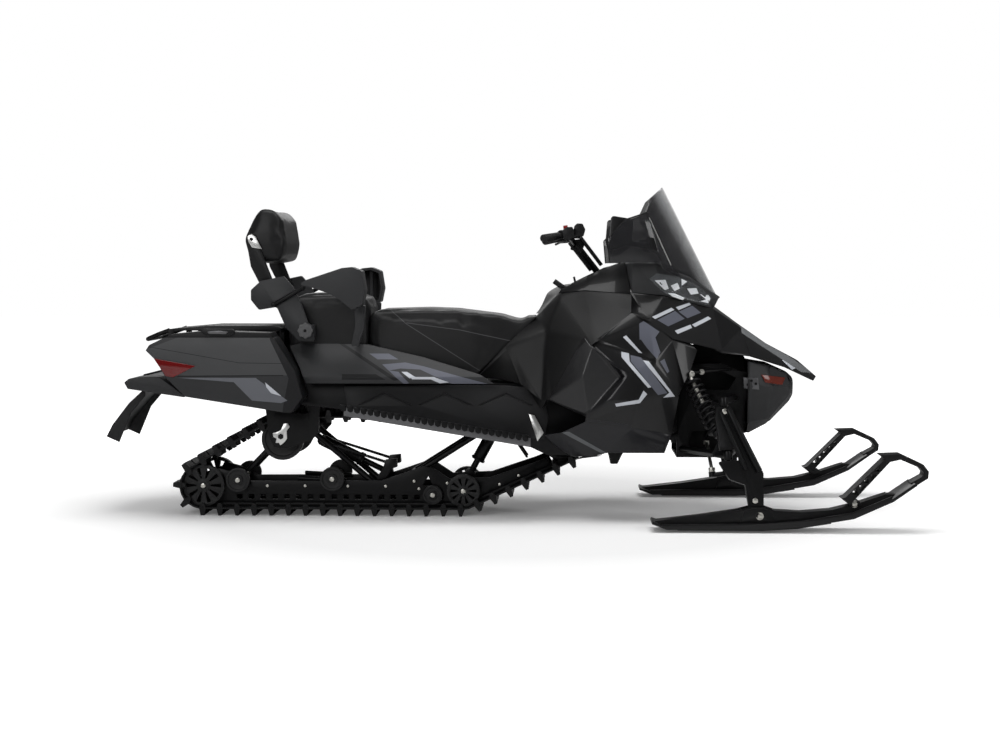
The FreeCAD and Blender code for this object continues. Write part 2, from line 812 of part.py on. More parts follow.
# Belly pan: below the side panels' seam and under the front of the machine.
BELLY = {
    "seam_rear": (356, 374, 426 - 3 * gap), "seam_mid": (520, 400, 393 - 3 * gap),
    "seam_front": (684, 336, 361 - 3 * gap), "front_low": (640, 318, 284),
    "crease_low": (422, 350, 285), "crease_rear": (238, 345, 367), "rear": (170, 300, 352),
    "floor_rear": (219, 290, 301),
    "floor_a": (284, 310, 264), "floor_b": (352, 330, 264), "inner_rear": (219, 216, 300),
    "inner_a": (284, 216, 264),
    "inner_b": (405, 216, 264), "middle_rear": (405, 0, 264), "middle_front": (640, 0, 276),
}
BELLY_FACES = [
    ("seam_rear", "seam_mid", "crease_low"), ("seam_mid", "seam_front", "front_low", "crease_low"),
    ("seam_rear", "crease_low", "crease_rear"),
    ("crease_rear", "crease_low", "floor_b", "floor_a", "floor_rear"), ("crease_rear", "floor_rear", "rear"),
    ("floor_rear", "floor_a", "inner_a", "inner_rear"),
    ("floor_a", "floor_b", "crease_low", "inner_b", "inner_a"),
    ("crease_low", "front_low", "middle_front", "middle_rear", "inner_b"),
]
belly = body_panel("belly_panel", BELLY, BELLY_FACES, True)
node("belly_pan", belly)

# Hood: from the pod to the nose tip, open below.
HOOD = {
    "pod_rear": (520 + gap, 0, 985), "pod_middle": (690, 0, 950), "pod_front": (864, 0, 886),
    "spine": (978, 0, 803), "spine_low": (1097, 0, 720),
    "beak": (1232, 0, 648), "tip": (1308, 0, 583), "ridge_rear": (525, 214, 931), "ridge": (656, 226, 921),
    "ridge_mid": (864, 180, 866),
    "ridge_front": (983, 105, 788), "ridge_low": (1100, 66, 712), "ridge_beak": (1225, 38, 645),
    "brow_rear": (521 + gap, 299, 852),
    "brow": (598, 291, 823), "brow_front": (690, 287, 746), "edge": (857, 263, 707),
    "edge_mid": (894, 256, 700), "edge_front": (1010, 226, 675),
    "edge_low": (1170, 152, 624), "edge_tip": (1298, 32, 563),
}
HOOD_FACES = [
    ("pod_rear", "pod_middle", "ridge", "ridge_rear"), ("pod_middle", "pod_front", "ridge_mid", "ridge"),
    ("pod_front", "spine", "ridge_front", "ridge_mid"), ("spine", "spine_low", "ridge_low", "ridge_front"),
    ("spine_low", "beak", "ridge_beak", "ridge_low"), ("beak", "tip", "ridge_beak"),
    ("ridge_rear", "ridge", "brow", "brow_rear"),
    ("ridge", "brow_front", "brow"), ("ridge", "ridge_mid", "brow_front"),
    ("ridge_mid", "edge", "brow_front"),
    ("ridge_mid", "ridge_front", "edge_mid", "edge"), ("ridge_front", "edge_front", "edge_mid"),
    ("ridge_front", "ridge_low", "edge_front"),
    ("ridge_low", "ridge_beak", "edge_low", "edge_front"), ("ridge_beak", "edge_tip", "edge_low"),
    ("ridge_beak", "tip", "edge_tip"),
]
hood = body_panel("hood_panel", HOOD, HOOD_FACES, True)
node("hood", hood)

# Nose cover: the lower front shell between the skis, open at the back.


def section_wire(x, half):
    """A whole outline at x, from its half given as (across, up), left side first."""
    left = [Vector(x, y, z) for y, z in half]
    right = [Vector(x, -y, z) for y, z in reversed(half[1:-1])]
    return Part.makePolygon(left + right + left[:1])


NOSE_SECTIONS = [
    (1003, [(0, 655), (200, 650), (222, 560), (215, 400), (190, 352), (0, 340)]),
    (1095, [(0, 640), (165, 632), (185, 540), (178, 415), (150, 395), (0, 385)]),
    (1188, [(0, 598), (100, 592), (122, 545), (115, 510), (90, 480), (0, 470)]),
    (1204, [(0, 580), (80, 575), (95, 545), (90, 522), (70, 505), (0, 500)]),
]
nose_outer = Part.makeLoft([section_wire(x, half) for x, half in NOSE_SECTIONS], True, True)
nose_inner_sections = []
for x, half in NOSE_SECTIONS:
    middle_z = (half[0][1] + half[-1][1]) / 2
    inset = [(max(y - panel_wall, 0), z - panel_wall if z > middle_z else z + panel_wall) for y, z in half]
    shift = -1 if x == NOSE_SECTIONS[0][0] else (-panel_wall if x == NOSE_SECTIONS[-1][0] else 0)
    nose_inner_sections.append(section_wire(x + shift, inset))
nose_room = doc.addObject("Part::Feature", "nose_room")
nose_room.Shape = Part.makeLoft(nose_inner_sections, True, True)
nose = doc.addObject("Part::Feature", "nose_form")
nose.Shape = nose_outer.cut(nose_room.Shape)
node("nose_cover", nose)


def nose_skin(distance):
    """The nose's outside, moved outwards by a distance."""
    return Part.makeLoft([
        section_wire(x, [(y + distance if y > 0 else 0, z) for y, z in half]) for x,
        half in NOSE_SECTIONS], True, True)


reflector_skin = doc.addObject("Part::Feature", "reflector_skin")
reflector_skin.Shape = nose_skin(inner_gap + 4).cut(nose_skin(inner_gap))
reflector_outline = middle_block("reflector_outline", [(1060, 596), (1168, 580), (1152, 551), (1077, 563)],
    260)
node("front_reflectors", common("reflectors", [reflector_skin, reflector_outline]))

# Headlight pod: the lamp housing above the hood, under the windshield.

# Its underside is the hood's top, moved up by the gap that it rests with.
POD = {
    "base_rear": (521 + gap, 0, 985), "base_middle": (690, 0, 950), "base_front": (864, 0, 886),
    "side_rear": (525, 214, 931), "side": (656, 226, 921), "side_front": (864, 180, 866),
}
POD = {name: (x, y, z + inner_gap) for name, (x, y, z) in POD.items()}
POD.update({
    "dash": (500, 0, 1062), "dash_side": (500, 172, 1052), "cap": (621, 0, 1076), "cap_front": (766, 0, 1012),
    "lip": (908, 0, 911),
    "brow_rear": (528, 202, 1058), "brow": (621, 230, 1054), "brow_front": (766, 214, 993),
    "lip_side": (898, 52, 908),
})
POD_FACES = [
    ("dash", "cap", "brow", "brow_rear", "dash_side"), ("cap", "cap_front", "brow_front", "brow"),
    ("cap_front", "lip", "lip_side", "brow_front"), ("brow_rear", "brow", "side", "side_rear"),
    ("brow", "brow_front", "side_front", "side"),
    ("brow_front", "lip_side", "side_front"), ("lip_side", "lip", "base_front", "side_front"),
    ("dash", "dash_side", "base_rear"),
    ("dash_side", "brow_rear", "side_rear", "base_rear"), ("base_rear", "side_rear", "side", "base_middle"),
    ("base_middle", "side", "side_front", "base_front"),
]
pod_points, pod_faces = whole({name: Vector(x, -y, z) for name, (x, y, z) in POD.items()}, POD_FACES)
pod_form = doc.addObject("Part::Feature", "pod_form")
pod_form.Shape = faceted(pod_points, pod_faces)
node("headlight_pod", cut("pod", pod_form, post_room))

# Windshield: a bent clear sheet with a wing on each side.

shield_wall = 4
SHIELD_RIBS = [
    [(650, 1032), (580, 1262)],
    [(716, 1000), (604, 1318)],
    [(820, 950), (646, 1356)],
    [(898, 905), (662, 1372)],
]
SHIELD_Y = [280, 225, 120, 0]


def shield_face(offset):
    """The sheet's surface as a grid of points, moved back along the machine by the offset."""
    rows = []
    for rib, y in zip(SHIELD_RIBS, SHIELD_Y):
        rows.append([Vector(x - offset, y, z) for x, z in rib])
    for rib, y in list(zip(SHIELD_RIBS, SHIELD_Y))[-2::-1]:
        rows.append([Vector(x - offset, -y, z) for x, z in rib])
    return rows


def ruled_sheet(rows, thickness_vector):
    """A sheet made of ruled strips between rows of two points, thickened along a vector."""
    strips = []
    for first, second in zip(rows[:-1], rows[1:]):
        lower = Part.makePolygon([first[0], second[0], second[0] + thickness_vector,
            first[0] + thickness_vector, first[0]])
        upper = Part.makePolygon([first[1], second[1], second[1] + thickness_vector,
            first[1] + thickness_vector, first[1]])
        strips.append(Part.makeLoft([lower, upper], True, True))
    return strips[0].multiFuse(strips[1:]).removeSplitter()


windshield = doc.addObject("Part::Feature", "windshield_form")
shield_sheet = ruled_sheet(shield_face(0), Vector(-shield_wall - 1, 0, 0))
pod_rooms = [pod_form.Shape.translated(Vector(0, y, z)) for y, z in ((0, gap), (gap, 0), (-gap, 0))]
shield_parts = shield_sheet.cut(pod_rooms).Solids
windshield.Shape = max(shield_parts, key=lambda solid: solid.Volume)
node("windshield", windshield)

# Engine: one plain block at its real place.

engine = middle_block("engine_form", [(415, 300), (575, 300), (575, 640), (415, 640)], 200, 15)
node("engine_block", engine)

# Bulkhead: the front frame that the suspension hangs on.

bulkhead_half = size("bulkhead_half")
bulkhead_outline = [
    (716, 256), (985, 256), (994, 365), (1050, 420), (1060, 520), (1058, 606), (985, 606), (900, 640),
    (760, 640), (716, 560),
]
side_frame = side_plate("side_frame", bulkhead_outline, "sizes.bulkhead_half - sizes.bulkhead_wall",
    "sizes.bulkhead_wall")
for number, window in enumerate((
    [(770, 264), (940, 264), (955, 440), (755, 440)],
    [(790, 530), (930, 530), (960, 580), (890, 615), (790, 615)],
    [(996, 395), (1032, 425), (1038, 500), (998, 480)],
)):
    opening = sketch(side_frame, "frame_window%d" % number, "XZ_Plane", loop(window), bulkhead_half - 20)
    pocket(side_frame, "frame_window%d_cut" % number, opening, 40)
floor_plate = middle_block("floor_plate", [(716, 250), (985, 250), (985, 256), (716, 256)],
    "sizes.bulkhead_half")
front_plate = middle_block("front_plate", [(960, 598), (1058, 598), (1058, 606), (960, 606)],
    "sizes.bulkhead_half")
cross_plate = middle_block("cross_plate", [(760, 632), (900, 632), (900, 640), (760, 640)],
    "sizes.bulkhead_half")
shock_top = (756, -256, 606)
shock_mount = rod("shock_mount", (756, -bulkhead_half + 3, 606), (756, shock_top[1] + 15 + inner_gap, 606),
    12)
beam_run = side_plate("frame_beam", [
    (tunnel_front + inner_gap, 352), (722, 352), (722, 330),
    (tunnel_front + inner_gap, 330)], 200 + inner_gap, 12)
beam_end = side_plate("frame_beam_end", [(702, 352), (722, 352), (722, 330), (702, 330)], bulkhead_half - 12,
    60)
beam = join("beam", [beam_run, beam_end])
bearing_spot = post_foot + post_line * 240
post_housing = rod("post_housing", tuple(bearing_spot - post_line * 30), tuple(bearing_spot + post_line * 30),
    24)
post_cross = cross_rod("post_cross", bearing_spot.x, bearing_spot.z, bulkhead_half - 3, 12)
nose_stay = common("nose_stay", [cross_rod("nose_stay_bar", 1034, 603, 230, 5), nose_room])
frame_form = join("frame_form", [
    side_frame, mirror("side_frame_other", side_frame), floor_plate, front_plate, cross_plate, shock_mount,
    mirror("shock_mount_other", shock_mount), beam, mirror("frame_beam_other", beam), post_housing,
    post_cross, nose_stay,
])
post_bore = rod("post_bore", tuple(post_foot), tuple(post_top), "sizes.post_radius + sizes.seat_gap")
bulkhead = cut("bulkhead_form", frame_form, post_bore)
node("bulkhead", bulkhead)

# Front suspension: a pair of A-arms a side, from the bulkhead to the spindle's two ball joints.

upper_ball = (size("upper_ball_x"), -size("upper_ball_y"), size("upper_ball_z"))
lower_ball = (size("lower_ball_x"), -size("lower_ball_y"), size("lower_ball_z"))
kingpin = (Vector(*upper_ball) - Vector(*lower_ball)).normalize()
ball_radius = size("ball_radius")


def along_kingpin(point, distance):
    place = Vector(*point) + kingpin * distance
    return (place.x, place.y, place.z)


def a_arm(name, ball, feet, tube, ears=()):
    """Two tubes from the frame to a forged end, with the ball stud along the kingpin."""
    pieces = list(ears)
    foot_y = -bulkhead_half + 10
    for number, (x, z) in enumerate(feet):
        pieces.append(rod("%s_tube%d" % (name, number), (x, foot_y, z), ball, tube))
    pieces.append(rod(name + "_boss", along_kingpin(ball, -ball_radius), along_kingpin(ball, ball_radius),
        "sizes.ball_radius"))
    pieces.append(rod(name + "_stud", along_kingpin(ball, -ball_radius - 16),
        along_kingpin(ball, ball_radius), "sizes.kingpin_radius"))
    frame_room = middle_block(name + "_room", [(600, 200), (1100, 200), (1100, 600), (600, 600)],
        "sizes.bulkhead_half + sizes.seat_gap")
    return cut(name, join(name + "_fused", pieces), frame_room)


upper_arm = a_arm("upper_arm", upper_ball, [(862, 498), (958, 498)], "sizes.arm_tube_radius - 2")
shock_bottom = (884, -405, 330)
ear_outline = [(842, 280), (925, 280), (925, 298), (900, 346), (868, 346), (842, 298)]
shock_ear = side_plate("shock_ear", ear_outline, -shock_bottom[1] + 15 + inner_gap, 6)
lower_arm = a_arm("lower_arm", lower_ball, [(735, 284), (960, 284)], "sizes.arm_tube_radius", [shock_ear])
node("upper_arms", pair("upper_arm_pair", upper_arm))
node("lower_arms", pair("lower_arm_pair", lower_arm))

# Coil-over shocks: a damper body, a rod, two eyes and a coil spring round them.


def coil_over(name, top, bottom, coil_radius, wire, turns):
    """A shock turned about its own line, its spring's turns as rounded rings that touch."""
    line = Vector(*top) - Vector(*bottom)
    length = line.Length
    spring_low = 0.22 * length
    spring_high = 0.84 * length
    step = (spring_high - spring_low) / turns
    outline = [(0, 12), (9, 12), (9, spring_low - 8), (coil_radius - 2, spring_low - 8),
        (coil_radius - 2, spring_low)]
    for i in range(turns):
        base = spring_low + i * step
        outline.append((coil_radius - wire * 0.6, base))
        outline.append((coil_radius, base + step * 0.3))
        outline.append((coil_radius, base + step * 0.7))
    outline.append((coil_radius - wire * 0.6, spring_high))
    outline += [(coil_radius - 2, spring_high), (coil_radius - 2, spring_high + 8), (22, spring_high + 8),
        (22, length - 16), (0, length - 16)]
    body = new_body(name)
    profile = sketch(body, name + "_profile", "XZ_Plane", loop(outline))
    turned = body.newObject("PartDesign::Revolution", name + "_turned")
    turned.Profile = profile
    turned.ReferenceAxis = (profile, ["V_Axis"])
    turned.Angle = 360
    body.Placement = Placement(Vector(*bottom), Rotation(Vector(0, 0, 1), line))
    eyes = []
    for end, place in (("top", top), ("bottom", bottom)):
        x, y, z = place
        eyes.append(rod("%s_%s_eye" % (name, end), (x, y - 15, z), (x, y + 15, z), 16))
    return join(name + "_shock", [body] + eyes)


spring_radius = size("spring_radius")
front_shock = coil_over("front_coil", shock_top, shock_bottom, spring_radius, size("spring_wire"), 9)
node("front_shocks", pair("front_shock_pair", front_shock))

# Spindles: forged legs that turn about the kingpin and carry the skis.

spindle_top = upper_ball[2] - ball_radius - 3
spindle_body = new_body("spindle_form")
lean = math.radians(90) - math.atan2(upper_ball[2] - lower_ball[2], upper_ball[1] - lower_ball[1])
height_scale = 1 / math.cos(lean)
spindle_foot_z = size("ski_bolt_z")


def leaned(z):
    """Distance down the leaning plane, from the upper ball."""
    return (z - upper_ball[2]) * height_scale


bolt_x = size("ski_bolt_x")
spindle_profile = sketch(spindle_body, "spindle_profile", "XZ_Plane", loop([
    (852, leaned(spindle_top)), (912, leaned(spindle_top)), (955, leaned(350)), (1034, leaned(225)),
    (1034, leaned(140)),
    (bolt_x + 24, leaned(44)), (bolt_x - 24, leaned(44)), (962, leaned(178)), (900, leaned(200)),
    (862, leaned(262)), (862, leaned(330)), (846, leaned(440)),
], 6))
pad(spindle_body, "spindle_pad", spindle_profile, "2 * sizes.spindle_half", symmetric=True)
spindle_body.Placement = Placement(Vector(0, upper_ball[1], upper_ball[2]),
    Rotation(Vector(1, 0, 0), math.degrees(lean) * -1))
stud_bore = rod("stud_bore", along_kingpin(upper_ball, -ball_radius - 17),
    along_kingpin(upper_ball, ball_radius), "sizes.kingpin_radius + sizes.seat_gap")
lower_pocket = rod("lower_pocket", along_kingpin(lower_ball, -ball_radius - 5),
    along_kingpin(lower_ball, ball_radius + 5), 46)
lower_bore = rod("lower_bore", along_kingpin(lower_ball, -ball_radius - 17),
    along_kingpin(lower_ball, ball_radius + 17), "sizes.kingpin_radius + sizes.seat_gap")
bolt_bore = rod("bolt_bore", (size("ski_bolt_x"), -size("ski_y") - 60, size("ski_bolt_z")),
    (size("ski_bolt_x"), -size("ski_y") + 60, size("ski_bolt_z")), 9 + inner_gap)
tie_ball = (838, lower_ball[1] + 30, 216)
steering_arm = rod("steering_arm", (940, lower_ball[1] - 14, 232),
    (tie_ball[0], tie_ball[1], tie_ball[2] - 4), 9)
arm_end = rod("steering_arm_end", along_kingpin(tie_ball, -12), along_kingpin(tie_ball, 8), 14)
arm_pin = rod("steering_arm_pin", along_kingpin(tie_ball, -9), along_kingpin(tie_ball, 26), 5)
spindle_solid = join("spindle_solid", [spindle_body, steering_arm, arm_end, arm_pin])
spindle_solid.Refine = False
spindle_voids = join("spindle_voids", [stud_bore, lower_pocket, lower_bore, bolt_bore])
spindle_right = cut("spindle_right_form", spindle_solid, spindle_voids)
spindle_right.Refine = False
node("spindle_right", spindle_right)
node("spindle_left", mirror("spindle_left_form", spindle_right))

# Skis: a moulded blade with raised edges, a keel and a saddle for the spindle's bolt.

ski_y = size("ski_y")
ski_half = size("ski_half")
ski_base = 12
UNDERSIDE = [(592, 34), (650, ski_base), (1030, ski_base), (1178, 24), (1377, 58), (1529, 126), (1620, 190)]
TOPSIDE = [(1612, 198), (1523, 136), (1373, 70), (1176, 36), (1030, 22), (655, 22), (596, 42)]


def ski_slab(name, outline, half, radius=0.0):
    body = new_body(name)
    profile = sketch(body, name + "_outline", "XZ_Plane", loop(outline, radius))
    pad(body, name + "_pad", profile, half, symmetric=True)
    body.Placement = Placement(Vector(0, -ski_y, 0), Rotation())
    return body


blade = ski_slab("ski_blade", UNDERSIDE + TOPSIDE, "2 * sizes.ski_half")
spine = ski_slab("ski_spine", [
    (600, 40), (650, 14), (1030, 14), (1178, 26), (1377, 60), (1529, 128), (1560, 150), (1505, 150),
    (1392, 112), (1295, 88), (1177, 78),
    (1075, 84), (1040, 96), (975, 96), (930, 84), (785, 62),
], 64)
keel = ski_slab("ski_keel", [(660, 14), (700, 0), (1030, 0), (1170, 9), (1300, 30), (1290, 44), (1160, 26),
    (1030, 14)], 18)
edge_shape = [(640, 22), (640, 34), (1030, 38), (1176, 50), (1373, 84), (1523, 148), (1523, 136), (1373, 70),
    (1176, 36), (1030, 22)]
edges = []
for name, side in (("ski_edge_in", 1), ("ski_edge_out", -1)):
    edge = ski_slab(name, edge_shape, 8)
    edge.Placement = Placement(Vector(0, -ski_y + side * (ski_half - 4), 0), Rotation())
    edges.append(edge)
saddle_slot = ski_slab("saddle_slot",
    [(bolt_x - 62, 28), (bolt_x + 62, 28), (bolt_x + 62, 140), (bolt_x - 62, 140)],
    2 * (size("spindle_half") + 9))
ski_body = cut("ski_body", join("ski_fused", [blade, spine, keel] + edges), saddle_slot)
ski_bolt = rod("ski_bolt", (bolt_x, -ski_y - 42, spindle_foot_z), (bolt_x, -ski_y + 42, spindle_foot_z), 9)
cheeks = []
for name, side in (("saddle_in", 1), ("saddle_out", -1)):
    cheek = ski_slab(name, [(935, 24), (1085, 24), (1060, 84), (1030, 92), (985, 92), (955, 84)], 8, 8)
    cheek.Placement = Placement(Vector(0, -ski_y + side * (size("spindle_half") + 13), 0), Rotation())
    cheeks.append(cheek)
ski_right = join("ski_right_form", [ski_body] + cheeks + [ski_bolt])
node("ski_right", ski_right)
node("ski_left", mirror("ski_left_form", ski_right))

# Ski loops: the handle that the ski is lifted by, with its lattice strut.

loop_frame = ski_slab("loop_frame", [
    (1350, 140), (1332, 134), (1376, 100), (1412, 106), (1404, 124), (1378, 122), (1520, 278), (1560, 287),
    (1638, 254), (1652, 236),
    (1650, 224), (1600, 196), (1612, 178), (1668, 214), (1671, 240), (1650, 268), (1563, 309), (1478, 306),
    (1500, 290),
], 84)
ski_loop_right = cut("ski_loop_form", loop_frame, join("ski_room", [blade, spine] + edges))
node("ski_loop_right", ski_loop_right)
node("ski_loop_left", mirror("ski_loop_left_form", ski_loop_right))

# Tie rods: from the steering arm's pin towards the foot of the steering post.

rod_end = Vector(*along_kingpin(tie_ball, 17))
rod_inner = Vector(848, -62, 302)
rod_run = (rod_inner - rod_end).normalize()
rod_start = rod_end + rod_run * 12
tie_shank = rod("tie_shank", tuple(rod_start), tuple(rod_inner), "sizes.tie_rod_radius")
tie_eye = rod("tie_eye", along_kingpin(rod_end, -8), along_kingpin(rod_end, 8), 13)
tie_bore = rod("tie_bore", along_kingpin(rod_end, -20), along_kingpin(rod_end, 20), 5 + inner_gap)
tie_inner_eye = rod("tie_inner_eye", (rod_inner.x, rod_inner.y, rod_inner.z - 8),
    (rod_inner.x, rod_inner.y, rod_inner.z + 8), 12)
tie_rod_right = cut("tie_rod_right_form", join("tie_rod_fused", [tie_shank, tie_eye, tie_inner_eye]),
    tie_bore)
node("tie_rod_right", tie_rod_right)
node("tie_rod_left", mirror("tie_rod_left_form", tie_rod_right))

# Handlebar: the steering post with its arm at the foot, the clamp and the bent bar.

bar_top = post_top
post = rod("post", tuple(post_foot), tuple(bar_top - post_line * 20), "sizes.post_radius")
clamp = middle_block("bar_clamp", [(274, 1112), (322, 1098), (334, 1132), (312, 1156), (282, 1152)], 32, 6)
bar_points = [(bar_top.x, 0, bar_top.z), (bar_top.x - 6, -70, bar_top.z + 4),
    (bar_top.x - 26, -170, bar_top.z + 32), (bar_top.x - 66, -250, bar_top.z + 30), (166, -372, 1153)]


def bent_tube(name, points, radius, bend):
    """A tube along straight runs with an arc at each turn."""
    corners = [Vector(*point) for point in points]
    edges = []
    last = corners[0]
    for before, corner, after in zip(corners[:-2], corners[1:-1], corners[2:]):
        back = before - corner
        ahead = after - corner
        half = back.getAngle(ahead) / 2
        cut_back = min(bend / math.tan(half), 0.45 * back.Length, 0.45 * ahead.Length)
        reach = cut_back * math.tan(half)
        start = corner + back.normalize() * cut_back
        end = corner + ahead.normalize() * cut_back
        inward = ((start + end) * 0.5 - corner).normalize()
        middle = corner + inward * (reach / math.sin(half) - reach)
        edges.append(Part.LineSegment(last, start).toShape())
        edges.append(Part.Arc(start, middle, end).toShape())
        last = end
    edges.append(Part.LineSegment(last, corners[-1]).toShape())
    path = Part.Wire(edges)
    direction = (corners[1] - corners[0]).normalize()
    ring = Part.Wire([Part.Circle(corners[0], direction, radius).toShape()])
    tube = doc.addObject("Part::Feature", name)
    tube.Shape = path.makePipeShell([ring], True, True)
    return tube


bar_half = bent_tube("bar_half", bar_points, size("bar_radius"), 60)
arm_tip = Vector(rod_inner.x, 0, rod_inner.z + 14)
foot_arm = rod("foot_arm", tuple(post_foot + post_line * 12), tuple(arm_tip), 11)
handlebar = join("handlebar_form", [post, clamp, bar_half, mirror("bar_other_half", bar_half), foot_arm])
node("handlebar", handlebar)
grip_start = Vector(*bar_points[3])
grip_end = Vector(*bar_points[4])
grip_line = (grip_end - grip_start).normalize()
grip_outer = rod("grip_outer", tuple(grip_start + grip_line * 14), tuple(grip_end + grip_line * 4),
    "sizes.bar_radius + 5")
grip_bore = rod("grip_bore", tuple(grip_start), tuple(grip_end + grip_line * 0.3),
    "sizes.bar_radius + sizes.seat_gap")
grip = cut("grip", grip_outer, grip_bore)
node("bar_grips", pair("grips", grip))
control_spot = Vector(*bar_points[2]) * 0.42 + Vector(*bar_points[3]) * 0.58
control_line = (Vector(*bar_points[3]) - Vector(*bar_points[2])).normalize()
control_block = rod("control_block", tuple(control_spot - control_line * 26),
    tuple(control_spot + control_line * 24), 24)
control_bore = rod("control_bore", tuple(control_spot - control_line * 40),
    tuple(control_spot + control_line * 40), "sizes.bar_radius + sizes.seat_gap")
lever = rod("lever", tuple(control_spot + Vector(20, 0, -4)), tuple(grip_end + Vector(46, 6, -14)), 5)
control = cut("control", join("control_fused", [control_block, lever]), control_bore)
node("bar_controls", pair("controls", control))

# Saddlebags: hollow tubs beside the tunnel, with a hinged lid each.

bag_inner = size("bag_inner")
bag_outer = size("bag_outer")
bag_wall = size("bag_wall")
seam_z = size("lid_seam_z")
lid_rear_x = -1374
lid_front_x = -932
bag_outline = [
    (-1451, 700), (-1436, 722), (lid_rear_x, seam_z), (lid_front_x, seam_z), (-926, 748), (-845, 621),
    (-813, 511), (-857, 448), (-885, 448),
    (-1292, 512), (-1371, 591), (-1411, 660),
]
bag_cavity = [
    (-1440, 702), (-1430, 716), (lid_rear_x, seam_z - bag_wall), (lid_rear_x, seam_z + 5),
    (lid_front_x, seam_z + 5),
    (lid_front_x, 744), (-850, 620), (-818, 512), (-859, 453), (-884, 453), (-1290, 517), (-1367, 594),
    (-1406, 662),
]
bag = side_plate("bag_form", bag_outline, "sizes.bag_inner", "sizes.bag_outer - sizes.bag_inner")
cavity = sketch(bag, "bag_cavity", "XZ_Plane", loop(bag_cavity), "sizes.bag_inner + sizes.bag_wall")
pocket(bag, "bag_cavity_cut", cavity, "sizes.bag_outer - sizes.bag_inner - 2 * sizes.bag_wall")
hinge_y = bag_inner - 8
hinge_z = seam_z + inner_gap + 8
hinge_pin = 3
hinge_half = 20
ear_gap = 0.5
ear_width = 8
hinge_parts = []
knuckles = []
for number, x in enumerate((-1290, -1020)):
    pin_half = hinge_half + ear_gap + ear_width
    name = "hinge%d" % number
    hinge_parts.append(rod(name + "_pin", (x - pin_half, -hinge_y, hinge_z),
        (x + pin_half, -hinge_y, hinge_z), hinge_pin))
    for side in (-1, 1):
        ear_x = x + side * (hinge_half + ear_gap + ear_width / 2)
        near = ear_x - ear_width / 2
        far = ear_x + ear_width / 2
        ear = "%s_ear%d" % (name, side + 1)
        hinge_parts.append(rod(ear + "_eye", (near, -hinge_y, hinge_z), (far, -hinge_y, hinge_z), 6))
        hinge_parts.append(side_plate(ear + "_web",
            [(near, seam_z - 30), (far, seam_z - 30), (far, hinge_z), (near, hinge_z)], hinge_y - 5, 9))
        hinge_parts.append(side_plate(
            ear + "_foot", [(near, seam_z - 30), (far, seam_z - 30), (far, seam_z - 1), (near, seam_z - 1)],
            hinge_y + 2, 8))
    knuckle_tube = rod(name + "_knuckle", (x - hinge_half, -hinge_y, hinge_z),
        (x + hinge_half, -hinge_y, hinge_z), 6)
    leaf = side_plate(name + "_leaf", [
        (x - hinge_half, hinge_z - 5), (x + hinge_half, hinge_z - 5), (x + hinge_half, hinge_z + 1),
        (x - hinge_half, hinge_z + 1)],
        hinge_y, bag_inner - hinge_y + 1)
    knuckle_bore = rod(
        name + "_bore", (x - hinge_half - 1, -hinge_y, hinge_z), (x + hinge_half + 1, -hinge_y, hinge_z),
        hinge_pin + inner_gap)
    knuckles.append(cut(name + "_half", join(name + "_fused", [knuckle_tube, leaf]), knuckle_bore))

lamp_outline = [(-1418, 668), (-1247, 637), (-1340, 590), (-1370, 596)]
node("saddlebags", pair("bags", join("bag_with_hinges", [bag] + hinge_parts)))
taillight = side_plate("taillight_form", lamp_outline, "sizes.bag_outer + sizes.seat_gap", 4)
node("taillights", pair("taillight_pair", taillight))
lid_outline = [
    (lid_rear_x, seam_z + inner_gap), (-1344, 766), (-1209, 779), (-944, 771),
    (lid_front_x, seam_z + inner_gap),
]
lid = side_plate("lid_form", lid_outline, "sizes.bag_inner", "sizes.bag_outer - sizes.bag_inner")
lid_cavity = sketch(lid, "lid_cavity", "XZ_Plane", loop([
    (lid_rear_x + 30, seam_z - 5), (-1340, seam_z + 9), (-1209, 774), (-950, 766),
    (lid_front_x - 14, seam_z - 5)]), "sizes.bag_inner + sizes.bag_wall")
pocket(lid, "lid_cavity_cut", lid_cavity, "sizes.bag_outer - sizes.bag_inner - 2 * sizes.bag_wall")
lid_right = join("lid_with_knuckles", [lid] + knuckles)
node("bag_lid_right", lid_right)
node("bag_lid_left", mirror("bag_lid_left_form", lid_right))

# Rear rack: a pressed deck on four legs over the tunnel, with a tube hoop behind.

rack_half = size("rack_half")
rack_z = size("rack_z")
deck = middle_block("rack_deck", [
    (-1400, rack_z - 6), (-935, rack_z - 6), (-925, rack_z + 4), (-960, rack_z + 14), (-1240, rack_z + 14),
    (-1400, rack_z),
], "sizes.rack_half")
legs = []
for name, x in (("front_leg", -960), ("rear_leg", -1390)):
    foot = tunnel_top(x) + inner_gap
    leg = side_plate("rack_" + name,
        [(x - 10, foot), (x + 14, foot), (x + 14, rack_z - 5), (x - 10, rack_z - 5)], "sizes.rack_half - 12",
        12)
    legs.append(leg)
    legs.append(mirror("rack_%s_other" % name, leg))
hoop_half = bent_tube("hoop_half",
    [(-1500, 0, 736), (-1500, -140, 736), (-1440, -168, 760), (-1396, -168, 776)], 9, 40)
hoop = [hoop_half, mirror("hoop_other_half", hoop_half)]
node("rear_rack", join("rack_form", [deck] + legs + hoop))

# Tail bumper and snow flap.

